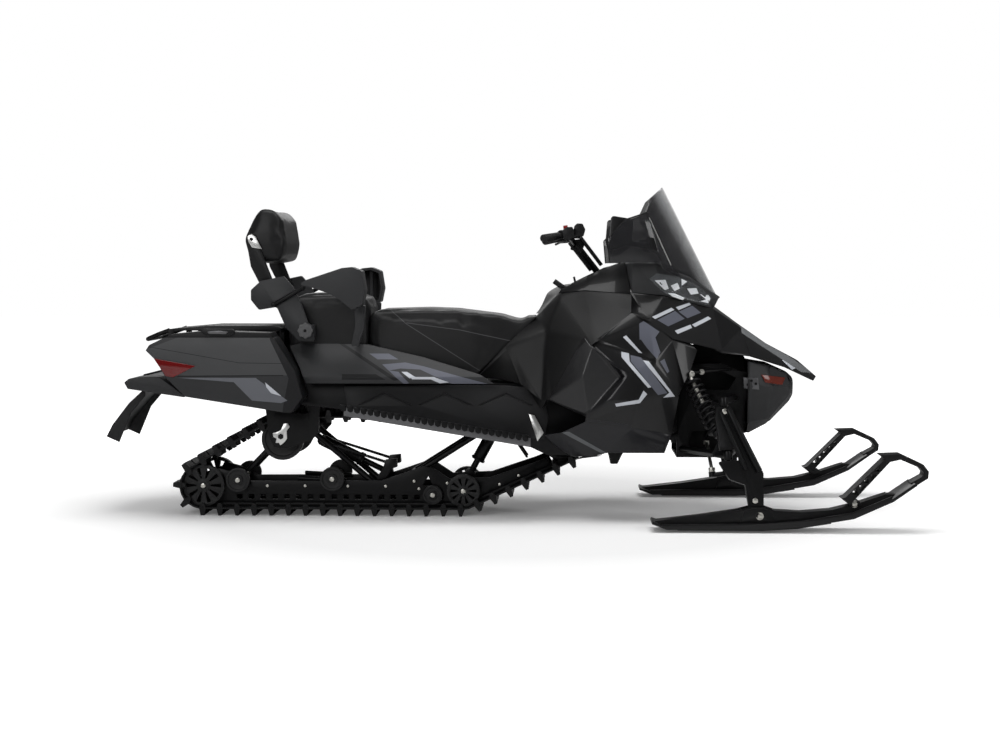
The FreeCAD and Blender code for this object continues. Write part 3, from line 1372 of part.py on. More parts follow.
bumper_outline = [(-1551, 566), (-1532, 582), (-1480, 590), (-1405, 590), (-1302, 512), (-1304, 506),
    (-1537, 540)]
bumper = middle_block("bumper_block", bumper_outline, 330)
bumper_void = sketch(bumper, "bumper_void", "XZ_Plane",
    loop([(-1508, 480), (-1290, 480), (-1290, 600), (-1508, 600)]))
pocket(bumper, "bumper_void_cut", bumper_void, "2 * (sizes.tunnel_half + sizes.seat_gap)", symmetric=True)
node("tail_bumper", bumper)
flap = middle_block("flap_form", [
    (-1507, 528), (-1507, 592), (-1500 - inner_gap, 592), (-1500 - inner_gap, 500), (-1560, 430),
    (-1612, 306), (-1666, 330), (-1640, 380), (-1570, 470)
], 180)
flap_hollow = sketch(flap, "flap_hollow", "XZ_Plane",
    loop([(-1498, 520), (-1498, 480), (-1550, 420), (-1600, 300), (-1660, 326), (-1634, 378), (-1562, 464),
    (-1504, 520)]))
pocket(flap, "flap_hollow_cut", flap_hollow, 2 * 174, symmetric=True)
node("snow_flap", flap)

# Backrest: a padded shell on two flat arms, held by brackets on the passenger seat's frame.

arm_y = size("arm_y")
bracket = side_plate("bracket", [
    (-1039, 944), (-998, 981), (-903, 1001), (-863, 956), (-828, 880), (-800, 800), (-781, 739), (-846, 739),
    (-895, 788), (-932, 874), (-1006, 862), (-1039, 903),
], "sizes.arm_y + 10", 10, 12)
bracket_foot = side_plate("bracket_foot", [
    (-846, 733), (-781, 733), (-781, 800), (-846, 800)], "sizes.passenger_half + sizes.seat_gap", 58)
knob = rod("knob", (-811, -arm_y - 16, 778), (-811, -arm_y - 40, 778), 31)
pivot_place = (-965, 962)
arm_pivot = rod("arm_pivot", (pivot_place[0], -arm_y + 12, pivot_place[1]),
    (pivot_place[0], -arm_y - 12, pivot_place[1]), 12)
backrest_bracket = join("backrest_bracket", [bracket, bracket_foot, knob, arm_pivot])
node("backrest_brackets", pair("backrest_bracket_pair", backrest_bracket))
arm = side_plate("backrest_arm",
    [(-1041, 1040), (-1060, 1154), (-1050, 1176), (-1024, 1176), (-1018, 1150), (-979, 1055), (-938, 950),
    (-992, 944)], "sizes.arm_y - 10", 14, 10)
pivot_bore = sketch(arm, "pivot_bore", "XZ_Plane",
    [Part.Circle(Vector(pivot_place[0], pivot_place[1], 0), Vector(0, 0, 1), 12 + inner_gap)], arm_y - 20)
pocket(arm, "pivot_bore_cut", pivot_bore, 40)
node("backrest_arms", pair("arm_pair", arm))
pad_outline = [(-1002, 1281), (-1018, 1260), (-1072, 1150), (-1046, 1059), (-920, 1059), (-905, 1130),
    (-922, 1240), (-950, 1275)]
back_pad = middle_block("back_pad", pad_outline, "sizes.pad_half", 18)
node("backrest_pad", back_pad)

# Hand guards: deep shells beside the passenger seat, with a grab bar inside each.

guard_outline = [
    (-816, 966), (-788, 986), (-643, 1034), (-603, 1038), (-563, 1022), (-551, 946), (-563, 886), (-603, 866),
    (-651, 906), (-691, 930), (-772, 958),
]
guard = side_plate("guard_form", guard_outline, "sizes.guard_inner", "sizes.guard_outer - sizes.guard_inner",
    10)
guard_hollow = sketch(guard, "guard_hollow", "XZ_Plane", loop([
    (-780, 972), (-643, 1020), (-606, 1026), (-572, 1012), (-562, 946), (-572, 896), (-604, 882), (-646, 918),
    (-690, 940)]), "sizes.guard_inner - 5")
pocket(guard, "guard_hollow_cut", guard_hollow,
    "sizes.guard_outer - sizes.guard_inner + 5 - sizes.guard_wall")
post_plate = side_plate("guard_post",
    [(-560, 882), (-566, 785), (-591, 716), (-618, 716), (-600, 800), (-604, 884)], 300.3, 30, 6)
hand_bar = rod("hand_bar", (-606, -350, 874), (-606, -350, 1030), 11)
guard_foot = rod("guard_foot", (-600, -size("passenger_half") - inner_gap, 744), (-600, -315, 744), 12)
node("hand_guards", pair("guards", join("guard_fused", [guard, post_plate, hand_bar, guard_foot])))

# Mirrors on the windshield's wings.

mirror_head = side_plate("mirror_head",
    [(430, 1150), (438, 1246), (500, 1236), (528, 1226), (520, 1120), (450, 1075)], SHIELD_Y[0] - 18, 36, 12)
mirror_base = side_plate(
    "mirror_base", [(592, 1108), (628, 1100), (612, 1156), (578, 1160)], SHIELD_Y[0] + inner_gap, 14, 5)
mirror_stem = rod("mirror_stem", (596, -SHIELD_Y[0] - 8, 1130), (500, -SHIELD_Y[0], 1140), 7)
node("mirrors", pair("mirror_pair", join("mirror_fused", [mirror_head, mirror_base, mirror_stem])))

# Skid suspension: two swing arms, two shocks and their cross tubes.

front_arm = []
front_arm_foot = (-395, 160)
front_arm_head = (-92, 352)
for name, y in (("in", rail_y - 24), ("out", -rail_y + 24)):
    front_arm.append(rod("front_arm_" + name, (front_arm_foot[0], y, front_arm_foot[1]),
        (front_arm_head[0], y, front_arm_head[1]), 13))
front_arm.append(cross_rod("front_arm_low", front_arm_foot[0], front_arm_foot[1],
    rail_y - rail_half - inner_gap, 12))
front_arm.append(cross_rod("front_arm_top", front_arm_head[0], front_arm_head[1],
    tunnel_half - wall - inner_gap, 14))
rear_arm = []
rear_arm_foot = (-540, 118)
rear_arm_head = (size("upper_idler_x") + 112, 352)
for name, y in (("in", rail_y - 24), ("out", -rail_y + 24)):
    rear_arm.append(rod("rear_arm_" + name, (rear_arm_foot[0], y, rear_arm_foot[1]),
        (rear_arm_head[0], y, rear_arm_head[1]), 13))
rear_arm.append(cross_rod("rear_arm_low", rear_arm_foot[0], rear_arm_foot[1], rail_y - rail_half - inner_gap,
    12))
rear_arm.append(cross_rod("rear_arm_top", rear_arm_head[0], rear_arm_head[1], bracket_inner - inner_gap, 14))
node("skid_arms", group("skid_arms_form",
    [join("front_skid_arm", front_arm), join("rear_skid_arm", rear_arm)]))

# Idler brackets: plates that hang from the tunnel's sides and hold the upper idlers' axle and the rear arm.

bracket_plate = side_plate("idler_bracket", [
    (-1000, 530), (-760, 512), (-770, 350), (-800, 318), (-900, 286), (-955, 290), (-975, 330),
], bracket_inner, 8, 12)
plate_window = sketch(bracket_plate, "idler_bracket_window", "XZ_Plane", loop([
    (-950, 440), (-810, 430), (-815, 480), (-950, 495)], 10), bracket_inner - 5)
pocket(bracket_plate, "idler_bracket_window_cut", plate_window, 20)
node("idler_brackets", pair("idler_bracket_pair", bracket_plate))

# Nothing is written unless every feature worked and every sub-part is a sound solid.

doc.recompute()
for item in doc.Objects:
    if "Invalid" in item.State or "Error" in item.State:
        raise RuntimeError("%s failed: %s" % (item.Name, item.State))
for name, piece in nodes.items():
    if piece.Shape.isNull() or not piece.Shape.isValid():
        raise RuntimeError("%s is not a sound shape" % name)

os.makedirs("parts", exist_ok=True)
for name, piece in nodes.items():
    piece.Shape.exportStep("parts/%s.step" % name)
print("%d sub-parts written" % len(nodes))
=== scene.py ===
import math

import bpy
from mathutils import Matrix, Vector


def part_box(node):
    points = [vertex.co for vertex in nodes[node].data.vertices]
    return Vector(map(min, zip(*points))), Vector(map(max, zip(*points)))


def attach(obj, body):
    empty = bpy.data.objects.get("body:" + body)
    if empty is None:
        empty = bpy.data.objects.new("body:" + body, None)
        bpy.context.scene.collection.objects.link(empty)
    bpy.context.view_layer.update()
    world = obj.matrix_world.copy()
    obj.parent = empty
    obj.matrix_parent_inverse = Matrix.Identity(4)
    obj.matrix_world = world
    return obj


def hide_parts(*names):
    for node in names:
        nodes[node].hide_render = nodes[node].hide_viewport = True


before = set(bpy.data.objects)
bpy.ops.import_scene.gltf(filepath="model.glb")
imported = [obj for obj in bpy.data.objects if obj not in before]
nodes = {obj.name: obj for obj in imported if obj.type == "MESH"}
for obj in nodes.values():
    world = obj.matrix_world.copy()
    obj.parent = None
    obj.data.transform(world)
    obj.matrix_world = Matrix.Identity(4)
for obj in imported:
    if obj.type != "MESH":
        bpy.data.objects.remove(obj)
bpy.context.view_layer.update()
scene = bpy.context.scene

# ---- Studio -------------------------------------------------------------------------------
# A pale floor without a seam, a soft box overhead, two at the sides, and the camera where the
# photograph was taken from: level with the handlebar, off the machine's right side.

camera_data = bpy.data.cameras.new("photo_camera")
camera_data.sensor_width = 36
camera_data.lens = 62.75
camera_data.clip_end = 60
camera = bpy.data.objects.new("photo_camera", camera_data)
scene.collection.objects.link(camera)
right = Vector((0.99941018, 0.03434085, 0.0))
up = Vector((-0.00206498, 0.06009649, 0.99819044))
ahead = Vector((-0.03427871, 0.99760168, -0.06013195))
turn = Matrix((right, up, -ahead)).transposed().to_4x4()
viewpoint = (0.231, -7.39, 1.026)
camera.matrix_world = Matrix.Translation(viewpoint) @ turn
scene.camera = camera

scene.view_settings.view_transform = "Standard"

bpy.ops.mesh.primitive_plane_add(size=60, location=(0, 0, 0))
floor = bpy.context.object
floor.name = "studio_floor"
floor_finish = bpy.data.materials.new("studio_floor")
floor_finish.use_nodes = True
tree = floor_finish.node_tree
tree.nodes.clear()
floor_out = tree.nodes.new("ShaderNodeOutputMaterial")
floor_paint = tree.nodes.new("ShaderNodeBsdfDiffuse")
floor_paint.inputs["Color"].default_value = (0.86, 0.86, 0.86, 1)
# The floor also glows for the camera alone: faintly within 1.2 m of the machine, fully white beyond 3.6 m as
# a backdrop. Its fall towards the machine is painted light, a broad painted shade round it.
floor_glow = tree.nodes.new("ShaderNodeEmission")
floor_place = tree.nodes.new("ShaderNodeTexCoord")
floor_reach = tree.nodes.new("ShaderNodeVectorMath")
floor_reach.operation = "LENGTH"
tree.links.new(floor_place.outputs["Object"], floor_reach.inputs[0])
floor_rise = tree.nodes.new("ShaderNodeMapRange")
floor_rise.inputs["From Min"].default_value = 1.2
floor_rise.inputs["From Max"].default_value = 3.6
floor_rise.inputs["To Min"].default_value = 0.08
floor_rise.inputs["To Max"].default_value = 1.0
tree.links.new(floor_reach.outputs["Value"], floor_rise.inputs["Value"])
floor_path = tree.nodes.new("ShaderNodeLightPath")
floor_seen = tree.nodes.new("ShaderNodeMath")
floor_seen.operation = "MULTIPLY"
tree.links.new(floor_rise.outputs["Result"], floor_seen.inputs[1])
tree.links.new(floor_path.outputs["Is Camera Ray"], floor_seen.inputs[0])
tree.links.new(floor_seen.outputs[0], floor_glow.inputs["Strength"])
floor_sum = tree.nodes.new("ShaderNodeAddShader")
tree.links.new(floor_paint.outputs[0], floor_sum.inputs[0])
tree.links.new(floor_glow.outputs[0], floor_sum.inputs[1])
tree.links.new(floor_sum.outputs[0], floor_out.inputs["Surface"])
floor.data.materials.append(floor_finish)

world = bpy.data.worlds.new("studio")
scene.world = world
world.use_nodes = True
tree = world.node_tree
tree.nodes.clear()
sky_out = tree.nodes.new("ShaderNodeOutputWorld")
sky_dim = tree.nodes.new("ShaderNodeBackground")
sky_dim.inputs["Color"].default_value = (1, 1, 1, 1)
sky_dim.inputs["Strength"].default_value = 0.12
sky_white = tree.nodes.new("ShaderNodeBackground")
sky_white.inputs["Color"].default_value = (1, 1, 1, 1)
sky_path = tree.nodes.new("ShaderNodeLightPath")
sky_seen = tree.nodes.new("ShaderNodeMath")
sky_seen.operation = "MAXIMUM"
tree.links.new(sky_path.outputs["Is Camera Ray"], sky_seen.inputs[0])
tree.links.new(sky_path.outputs["Is Transmission Ray"], sky_seen.inputs[1])
sky_mix = tree.nodes.new("ShaderNodeMixShader")
tree.links.new(sky_seen.outputs[0], sky_mix.inputs[0])
tree.links.new(sky_dim.outputs[0], sky_mix.inputs[1])
tree.links.new(sky_white.outputs[0], sky_mix.inputs[2])
tree.links.new(sky_mix.outputs[0], sky_out.inputs["Surface"])

for name, place, aim, width, height, power in (
    ("top_box", (0.2, -0.6, 4.2), (0.0, 0.0, 0.5), 5.0, 2.2, 150),
    ("side_box", (-2.5, -5.2, 2.6), (0.0, 0.0, 0.6), 3.0, 2.0, 90),
    ("front_box", (4.6, -2.8, 2.4), (0.6, 0.0, 0.6), 2.0, 2.0, 60),
    ("rear_box", (-1.0, 4.8, 3.0), (0.0, 0.0, 0.7), 5.0, 1.6, 60),
):
    lamp = bpy.data.lights.new(name, "AREA")
    lamp.shape = "RECTANGLE"
    lamp.size = width
    lamp.size_y = height
    lamp.energy = power
    light = bpy.data.objects.new(name, lamp)
    light.location = place
    light.rotation_euler = (Vector(aim) - Vector(place)).to_track_quat("-Z", "Y").to_euler()
    scene.collection.objects.link(light)

# ---- Track --------------------------------------------------------------------------------
# One rubber loop with moulded lugs, scuffed by ice: black with a dusty mottle and a coarse skin.
# The grain group below gives every moulded surface its mottle, fine bump and uneven gloss.

grain = bpy.data.node_groups.new("moulded_grain", "ShaderNodeTree")
for name, kind, value in (
    ("Colour", "NodeSocketColor", (0.05, 0.05, 0.05, 1)),
    ("Mottle", "NodeSocketFloat", 0.1),
    ("Grain Size", "NodeSocketFloat", 900.0),
    ("Grain Depth", "NodeSocketFloat", 0.2),
    ("Roughness", "NodeSocketFloat", 0.5),
    ("Unevenness", "NodeSocketFloat", 0.08),
):
    socket = grain.interface.new_socket(name, in_out="INPUT", socket_type=kind)
    socket.default_value = value
for name, kind in (
    ("Colour", "NodeSocketColor"),
    ("Roughness", "NodeSocketFloat"),
    ("Normal", "NodeSocketVector"),
):
    grain.interface.new_socket(name, in_out="OUTPUT", socket_type=kind)
grain_in = grain.nodes.new("NodeGroupInput")
grain_out = grain.nodes.new("NodeGroupOutput")
place = grain.nodes.new("ShaderNodeTexCoord")
fine = grain.nodes.new("ShaderNodeTexNoise")
fine.inputs["Detail"].default_value = 4
grain.links.new(place.outputs["Object"], fine.inputs["Vector"])
grain.links.new(grain_in.outputs["Grain Size"], fine.inputs["Scale"])
bump = grain.nodes.new("ShaderNodeBump")
bump.inputs["Distance"].default_value = 0.0006
grain.links.new(fine.outputs["Fac"], bump.inputs["Height"])
grain.links.new(grain_in.outputs["Grain Depth"], bump.inputs["Strength"])
grain.links.new(bump.outputs["Normal"], grain_out.inputs["Normal"])
broad = grain.nodes.new("ShaderNodeTexNoise")
broad.inputs["Scale"].default_value = 7
broad.inputs["Detail"].default_value = 5
grain.links.new(place.outputs["Object"], broad.inputs["Vector"])
centred = grain.nodes.new("ShaderNodeMath")
centred.operation = "SUBTRACT"
centred.inputs[1].default_value = 0.5
grain.links.new(broad.outputs["Fac"], centred.inputs[0])
tone_and_sheen = grain.nodes.new("ShaderNodeMath")
tone_and_sheen.operation = "MULTIPLY_ADD"
tone_and_sheen.inputs[2].default_value = 1.0
grain.links.new(centred.outputs[0], tone_and_sheen.inputs[0])
grain.links.new(grain_in.outputs["Mottle"], tone_and_sheen.inputs[1])
shade = grain.nodes.new("ShaderNodeVectorMath")
shade.operation = "SCALE"
grain.links.new(grain_in.outputs["Colour"], shade.inputs[0])
grain.links.new(tone_and_sheen.outputs[0], shade.inputs["Scale"])
grain.links.new(shade.outputs[0], grain_out.inputs["Colour"])
rough = grain.nodes.new("ShaderNodeMath")
rough.operation = "MULTIPLY_ADD"
grain.links.new(centred.outputs[0], rough.inputs[0])
grain.links.new(grain_in.outputs["Unevenness"], rough.inputs[1])
grain.links.new(grain_in.outputs["Roughness"], rough.inputs[2])
grain.links.new(rough.outputs[0], grain_out.inputs["Roughness"])


def moulded(name, colour, roughness, grain_size=900, depth=0.2, mottle=0.25, uneven=0.12, metallic=0.0,
            coat=0.0, shine=0.22):
    """A surface whose colour, gloss and fine bump come from the grain group."""
    finish = bpy.data.materials.new(name)
    finish.use_nodes = True
    tree = finish.node_tree
    shader = tree.nodes["Principled BSDF"]
    group = tree.nodes.new("ShaderNodeGroup")
    group.name = "grain"
    group.node_tree = grain
    group.inputs["Colour"].default_value = (*colour, 1)
    group.inputs["Mottle"].default_value = mottle
    group.inputs["Grain Size"].default_value = grain_size
    group.inputs["Grain Depth"].default_value = depth
    group.inputs["Roughness"].default_value = roughness
    group.inputs["Unevenness"].default_value = uneven
    tree.links.new(group.outputs["Colour"], shader.inputs["Base Color"])
    tree.links.new(group.outputs["Roughness"], shader.inputs["Roughness"])
    tree.links.new(group.outputs["Normal"], shader.inputs["Normal"])
    shader.inputs["Metallic"].default_value = metallic
    shader.inputs["Specular IOR Level"].default_value = shine
    shader.inputs["Coat Weight"].default_value = coat
    shader.inputs["Coat Roughness"].default_value = 0.06
    return finish


track_rubber = moulded("track_rubber", (0.008, 0.008, 0.0085), 0.6, 500, 0.5, mottle=0.9, uneven=0.3)
nodes["track"].data.materials.clear()
nodes["track"].data.materials.append(track_rubber)


def only(piece):
    """Makes one object the active and only selected one."""
    bpy.ops.object.select_all(action="DESELECT")
    piece.select_set(True)
    bpy.context.view_layer.objects.active = piece


def apply(piece, kind, **settings):
    """Adds a modifier with its settings and applies it."""
    only(piece)
    step = piece.modifiers.new(kind.lower(), kind)
    for setting, value in settings.items():
        setattr(step, setting, value)
    bpy.ops.object.modifier_apply(modifier=step.name)


def smooth(piece, angle):
    """Smooth shading, with folds sharper than an angle in degrees kept crisp."""
    only(piece)
    bpy.ops.object.shade_smooth_by_angle(angle=math.radians(angle))


def settle(piece, finish, body, angle=35):
    """Puts a new piece's place into its mesh, gives it its finish and lets it ride on a body."""
    only(piece)
    bpy.ops.object.transform_apply(location=True, rotation=True, scale=True)
    bpy.ops.object.mode_set(mode="EDIT")
    bpy.ops.mesh.select_all(action="SELECT")
    bpy.ops.mesh.normals_make_consistent(inside=False)
    bpy.ops.object.mode_set(mode="OBJECT")
    piece.data.materials.clear()
    piece.data.materials.append(finish)
    smooth(piece, angle)
    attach(piece, body)
    return piece


SAME_POINT = 0.00002
FLAT_FOLD = 0.6


def cad_copy(node, name):
    """A copy of a CAD node's mesh with its flat faces joined, to be worked on."""
    piece = bpy.data.objects.new(name, nodes[node].data.copy())
    scene.collection.objects.link(piece)
    only(piece)
    bpy.ops.object.mode_set(mode="EDIT")
    bpy.ops.mesh.select_all(action="SELECT")
    bpy.ops.mesh.remove_doubles(threshold=SAME_POINT)
    bpy.ops.mesh.dissolve_limited(angle_limit=math.radians(FLAT_FOLD))
    bpy.ops.object.mode_set(mode="OBJECT")
    return piece


def rounded(node, finish, width, body="chassis", angle=28, segments=2):
    """The same part with its moulded or machined edges rounded, standing for the CAD node."""
    piece = cad_copy(node, node + "_finished")
    apply(piece, "BEVEL", limit_method="ANGLE", angle_limit=math.radians(angle), width=width,
          segments=segments)
    settle(piece, finish, body)
    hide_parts(node)
    return piece


def side_cut(name, points, near, far, finish, body="chassis", bevel=0.0015):
    """A piece with a side outline of (x, z) points, from one distance across to another."""
    bpy.ops.object.select_all(action="DESELECT")
    bpy.ops.mesh.primitive_circle_add(vertices=len(points), radius=0.1, fill_type="NGON")
    piece = bpy.context.object
    piece.name = name
    for corner, (x, z) in zip(piece.data.vertices, points):
        corner.co = (x, near, z)
    bpy.ops.object.mode_set(mode="EDIT")
    bpy.ops.mesh.select_all(action="SELECT")
    bpy.ops.mesh.extrude_region_move(TRANSFORM_OT_translate={"value": (0, far - near, 0)})
    bpy.ops.object.mode_set(mode="OBJECT")
    if bevel:
        apply(piece, "BEVEL", limit_method="ANGLE", angle_limit=math.radians(28), width=bevel, segments=2)
    return settle(piece, finish, body)


def plate(name, points, thickness, finish, body="chassis", bevel=0.0006):
    """A flat or slightly bent sheet through the given corners."""
    bpy.ops.object.select_all(action="DESELECT")
    bpy.ops.mesh.primitive_circle_add(vertices=len(points), radius=0.1, fill_type="NGON")
    piece = bpy.context.object
    piece.name = name
    for corner, point in zip(piece.data.vertices, points):
        corner.co = point
    apply(piece, "SOLIDIFY", thickness=thickness, offset=0)
    if bevel:
        apply(piece, "BEVEL", limit_method="ANGLE", angle_limit=math.radians(40), width=bevel, segments=2)
    return settle(piece, finish, body)


def bent_sheet(name, rows, thickness, finish, body="chassis"):
    """A formed sheet through rows of points, each row with as many points as the others."""
    columns = len(rows[0]) - 1
    bpy.ops.object.select_all(action="DESELECT")
    bpy.ops.mesh.primitive_grid_add(x_subdivisions=columns, y_subdivisions=len(rows) - 1, size=1)
    piece = bpy.context.object
    piece.name = name
    for corner in piece.data.vertices:
        column = round((corner.co.x + 0.5) * columns)
        row = round((corner.co.y + 0.5) * (len(rows) - 1))
        corner.co = rows[row][column]
    apply(piece, "SOLIDIFY", thickness=thickness, offset=0)
    apply(piece, "BEVEL", limit_method="ANGLE", angle_limit=math.radians(50), width=thickness * 0.3,
          segments=2)
    return settle(piece, finish, body)


def on_side(piece, x, z, lift=0.0, side=-1):
    """The outermost point of a piece at a place in side view, lifted off it a little."""
    bpy.context.view_layer.update()
    found, spot, normal, index = piece.ray_cast(Vector((x, side * 2, z)), Vector((0, -side, 0)))
    if not found:
        raise ValueError("%s has nothing at x %.3f, z %.3f" % (piece.name, x, z))
    return spot + Vector((0, side * lift, 0))


def other_side(piece, name, body="chassis"):
    """The same piece, mirrored to the machine's left, with its own mesh."""
    twin = bpy.data.objects.new(name, piece.data.copy())
    scene.collection.objects.link(twin)
    twin.data.transform(Matrix.Diagonal((1, -1, 1, 1)))
    twin.data.flip_normals()
    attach(twin, body)
    return twin


# ---- Skid frame ---------------------------------------------------------------------------
# Punched aluminium rails in black, plastic slides below them, spoked nylon wheels on steel
# axles. The rails are bolted through; the bolt heads are zinc.

black_alloy = moulded("black_alloy", (0.008, 0.008, 0.0085), 0.36, 700, 0.12, metallic=0.5)
soft_black = moulded("black_plastic", (0.006, 0.006, 0.0065), 0.45, 1200, 0.3)
wheel_plastic = moulded("wheel_plastic", (0.014, 0.014, 0.0145), 0.42, 600, 0.2, mottle=0.5)
satin_steel = moulded("satin_black_steel", (0.006, 0.006, 0.0065), 0.34, 500, 0.1, metallic=0.3)
zinc = moulded("zinc_steel", (0.55, 0.54, 0.5), 0.32, 400, 0.1, metallic=1.0)
rounded("slide_rails", black_alloy, 0.001)
rounded("slide_shoes", soft_black, 0.002)
rounded("idler_wheels", wheel_plastic, 0.0008)
rounded("skid_axles", zinc, 0.001)
rounded("skid_arms", satin_steel, 0.001)
rounded("driveshaft", wheel_plastic, 0.001)


def bolt_row(name, places, side, radius, finish=zinc, body="chassis"):
    """Hexagon heads on round washers at (x, y, z) places, facing right (side -1) or left (side 1)."""
    heads = []
    for x, y, z in places:
        bpy.ops.object.select_all(action="DESELECT")
        bpy.ops.mesh.primitive_cylinder_add(vertices=6, radius=radius, depth=radius * 0.8,
                                            location=(0, 0, radius * 0.55))
        head = bpy.context.object
        apply(head, "BEVEL", width=radius * 0.12, segments=2)
        bpy.ops.mesh.primitive_cylinder_add(vertices=20, radius=radius * 1.45, depth=radius * 0.3,
                                            location=(0, 0, 0))
        washer = bpy.context.object
        apply(washer, "BEVEL", width=radius * 0.06, segments=1)
        head.select_set(True)
        bpy.context.view_layer.objects.active = head
        bpy.ops.object.join()
        head.data.transform(Matrix.Translation((x, y, z)) @ Matrix.Rotation(math.radians(-90 * side), 4, "X"))
        head.location = (0, 0, 0)
        heads.append(head)
    bpy.ops.object.select_all(action="DESELECT")
    for head in heads:
        head.select_set(True)
    bpy.context.view_layer.objects.active = heads[0]
    bpy.ops.object.join()
    heads[0].name = name
    return settle(heads[0], finish, body, 30)


RAIL_BOLTS = [
    (-1.16, 0.118), (-1.0, 0.118), (-0.84, 0.118), (-0.66, 0.118), (-0.5, 0.118),
    (-0.38, 0.14), (-0.36, 0.108), (-0.24, 0.132), (-0.02, 0.128), (0.06, 0.165),
]
rail_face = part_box("slide_rails")[0][1]
rail_bolts = bolt_row("rail_bolts", [(x, rail_face - 0.001, z) for x, z in RAIL_BOLTS], -1, 0.0065)
other_side(rail_bolts, "rail_bolts_left")
HUBS = [(-1.263, 0.123), (-0.171, 0.104)]
wheel_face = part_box("idler_wheels")[0][1]
hub_bolts = bolt_row("hub_bolts", [(x, wheel_face - 0.003, z) for x, z in HUBS], -1, 0.011)
other_side(hub_bolts, "hub_bolts_left")

# ---- Track shocks and straps --------------------------------------------------------------
# Two coil-over dampers between the swing arms and the rails: zinc rod, black body, black coil
# spring wound of one wire. They are built as plain dampers without their springs: black body,
# steel collar and rod, an eye at each end; the coil-over below, with its wound spring, serves the
# front shocks. Webbing straps hold the front of the rails from dropping too far.


def coil_over(name, top, bottom, coil, wire, turns, replaced):
    """A damper with its eyes and a real helical spring between two points, in place of a CAD node."""
    low = Vector(bottom)
    line = Vector(top) - low
    length = line.length
    place = Matrix.Translation(low) @ line.to_track_quat("Z", "Y").to_matrix().to_4x4()
    spring_low = 0.2 * length
    spring_high = 0.84 * length
    bpy.ops.object.select_all(action="DESELECT")
    bpy.ops.mesh.primitive_circle_add(vertices=10, radius=wire / 2, rotation=(math.radians(90), 0, 0),
                                      location=(coil - wire / 2, 0, spring_low + wire / 2))
    spring = bpy.context.object
    spring.name = name + "_spring"
    bpy.ops.object.transform_apply(location=True, rotation=True, scale=True)
    apply(spring, "SCREW", axis="Z", screw_offset=(spring_high - spring_low - wire) / turns, iterations=turns,
          steps=20, render_steps=20, use_smooth_shade=True)
    spring.data.transform(place)
    settle(spring, satin_steel, "chassis", 60)
    parts = []
    for radius, start, end in (
        (coil * 0.52, 0.1, 0.5), (coil * 0.24, 0.45, 0.97), (coil * 0.96, 0.165, 0.2),
        (coil * 0.9, 0.84, 0.87), (coil * 0.62, 0.5, 0.53),
    ):
        bpy.ops.object.select_all(action="DESELECT")
        bpy.ops.mesh.primitive_cylinder_add(vertices=28, radius=radius, depth=(end - start) * length,
                                            location=(0, 0, (start + end) / 2 * length))
        part = bpy.context.object
        bpy.ops.object.transform_apply(location=True, rotation=True, scale=True)
        apply(part, "BEVEL", limit_method="ANGLE", width=radius * 0.12, segments=3)
        part.data.transform(place)
        parts.append(part)
    for end in (top, bottom):
        bpy.ops.object.select_all(action="DESELECT")
        bpy.ops.mesh.primitive_cylinder_add(vertices=28, radius=coil * 0.42, depth=0.03, location=end,
                                            rotation=(math.radians(90), 0, 0))
        eye = bpy.context.object
        bpy.ops.object.transform_apply(location=True, rotation=True, scale=True)
        apply(eye, "BEVEL", limit_method="ANGLE", width=0.0025, segments=2)
        parts.append(eye)
    rod = parts.pop(1)
    rod.name = name + "_rod"
    settle(rod, zinc, "chassis")
    bpy.ops.object.select_all(action="DESELECT")
    for part in parts:
        part.select_set(True)
    bpy.context.view_layer.objects.active = parts[0]
    bpy.ops.object.join()
    parts[0].name = name + "_body"
    settle(parts[0], black_alloy, "chassis")
    for part in (spring, rod, parts[0]):
        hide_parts(replaced)


def tube(name, start, end, radius, finish, body="chassis", sides=24):
    """A round bar or tube between two points, its ends slightly chamfered."""
    line = Vector(end) - Vector(start)
    bpy.ops.object.select_all(action="DESELECT")
    bpy.ops.mesh.primitive_cylinder_add(vertices=sides, radius=radius, depth=line.length)
    piece = bpy.context.object
    piece.name = name
    apply(piece, "BEVEL", limit_method="ANGLE", width=radius * 0.14, segments=2)
    middle = Matrix.Translation((Vector(start) + Vector(end)) / 2)
    piece.data.transform(middle @ line.to_track_quat("Z", "Y").to_matrix().to_4x4())
    return settle(piece, finish, body)


def damper(name, top, bottom, radius):
    """A plain gas damper: a black body, a bright rod and an eye at each end."""
    top = Vector(top)
    bottom = Vector(bottom)
    tube(name + "_body", top, top.lerp(bottom, 0.58), radius, black_alloy)
    tube(name + "_collar", top.lerp(bottom, 0.55), top.lerp(bottom, 0.62), radius * 1.18, satin_steel)
    tube(name + "_rod", top.lerp(bottom, 0.6), bottom, radius * 0.5, satin_steel)
    for end, spot in (("top", top), ("bottom", bottom)):
        tube(name + "_eye_" + end, spot - Vector((0, 0.025, 0)), spot + Vector((0, 0.025, 0)), radius * 0.85,
             black_alloy)


damper("front_track_shock", (-0.068, 0, 0.31), (-0.15, 0, 0.16), 0.026)
damper("rear_track_shock", (-0.78, 0, 0.3), (-0.5, 0, 0.165), 0.025)
SIDES = ((-1, "right"), (1, "left"))
LEVER_OUTLINE = [
    (-0.503, 0.228), (-0.455, 0.233), (-0.452, 0.198), (-0.478, 0.19), (-0.502, 0.138), (-0.535, 0.132),
    (-0.54, 0.152), (-0.512, 0.196),
]
for side, name in SIDES:
    side_cut("torsion_lever_" + name, LEVER_OUTLINE, side * 0.078, side * 0.104, black_alloy, bevel=0.003)
    tube("torsion_rod_" + name, (-0.73, side * 0.09, 0.29), (-0.49, side * 0.09, 0.214), 0.006, satin_steel)
    tube("coupler_rod_" + name, (-0.872, side * 0.1, 0.149), (-0.669, side * 0.1, 0.14), 0.009, black_alloy)
    tube("short_link_" + name, (-0.985, side * 0.1, 0.284), (-1.085, side * 0.1, 0.18), 0.011, black_alloy)

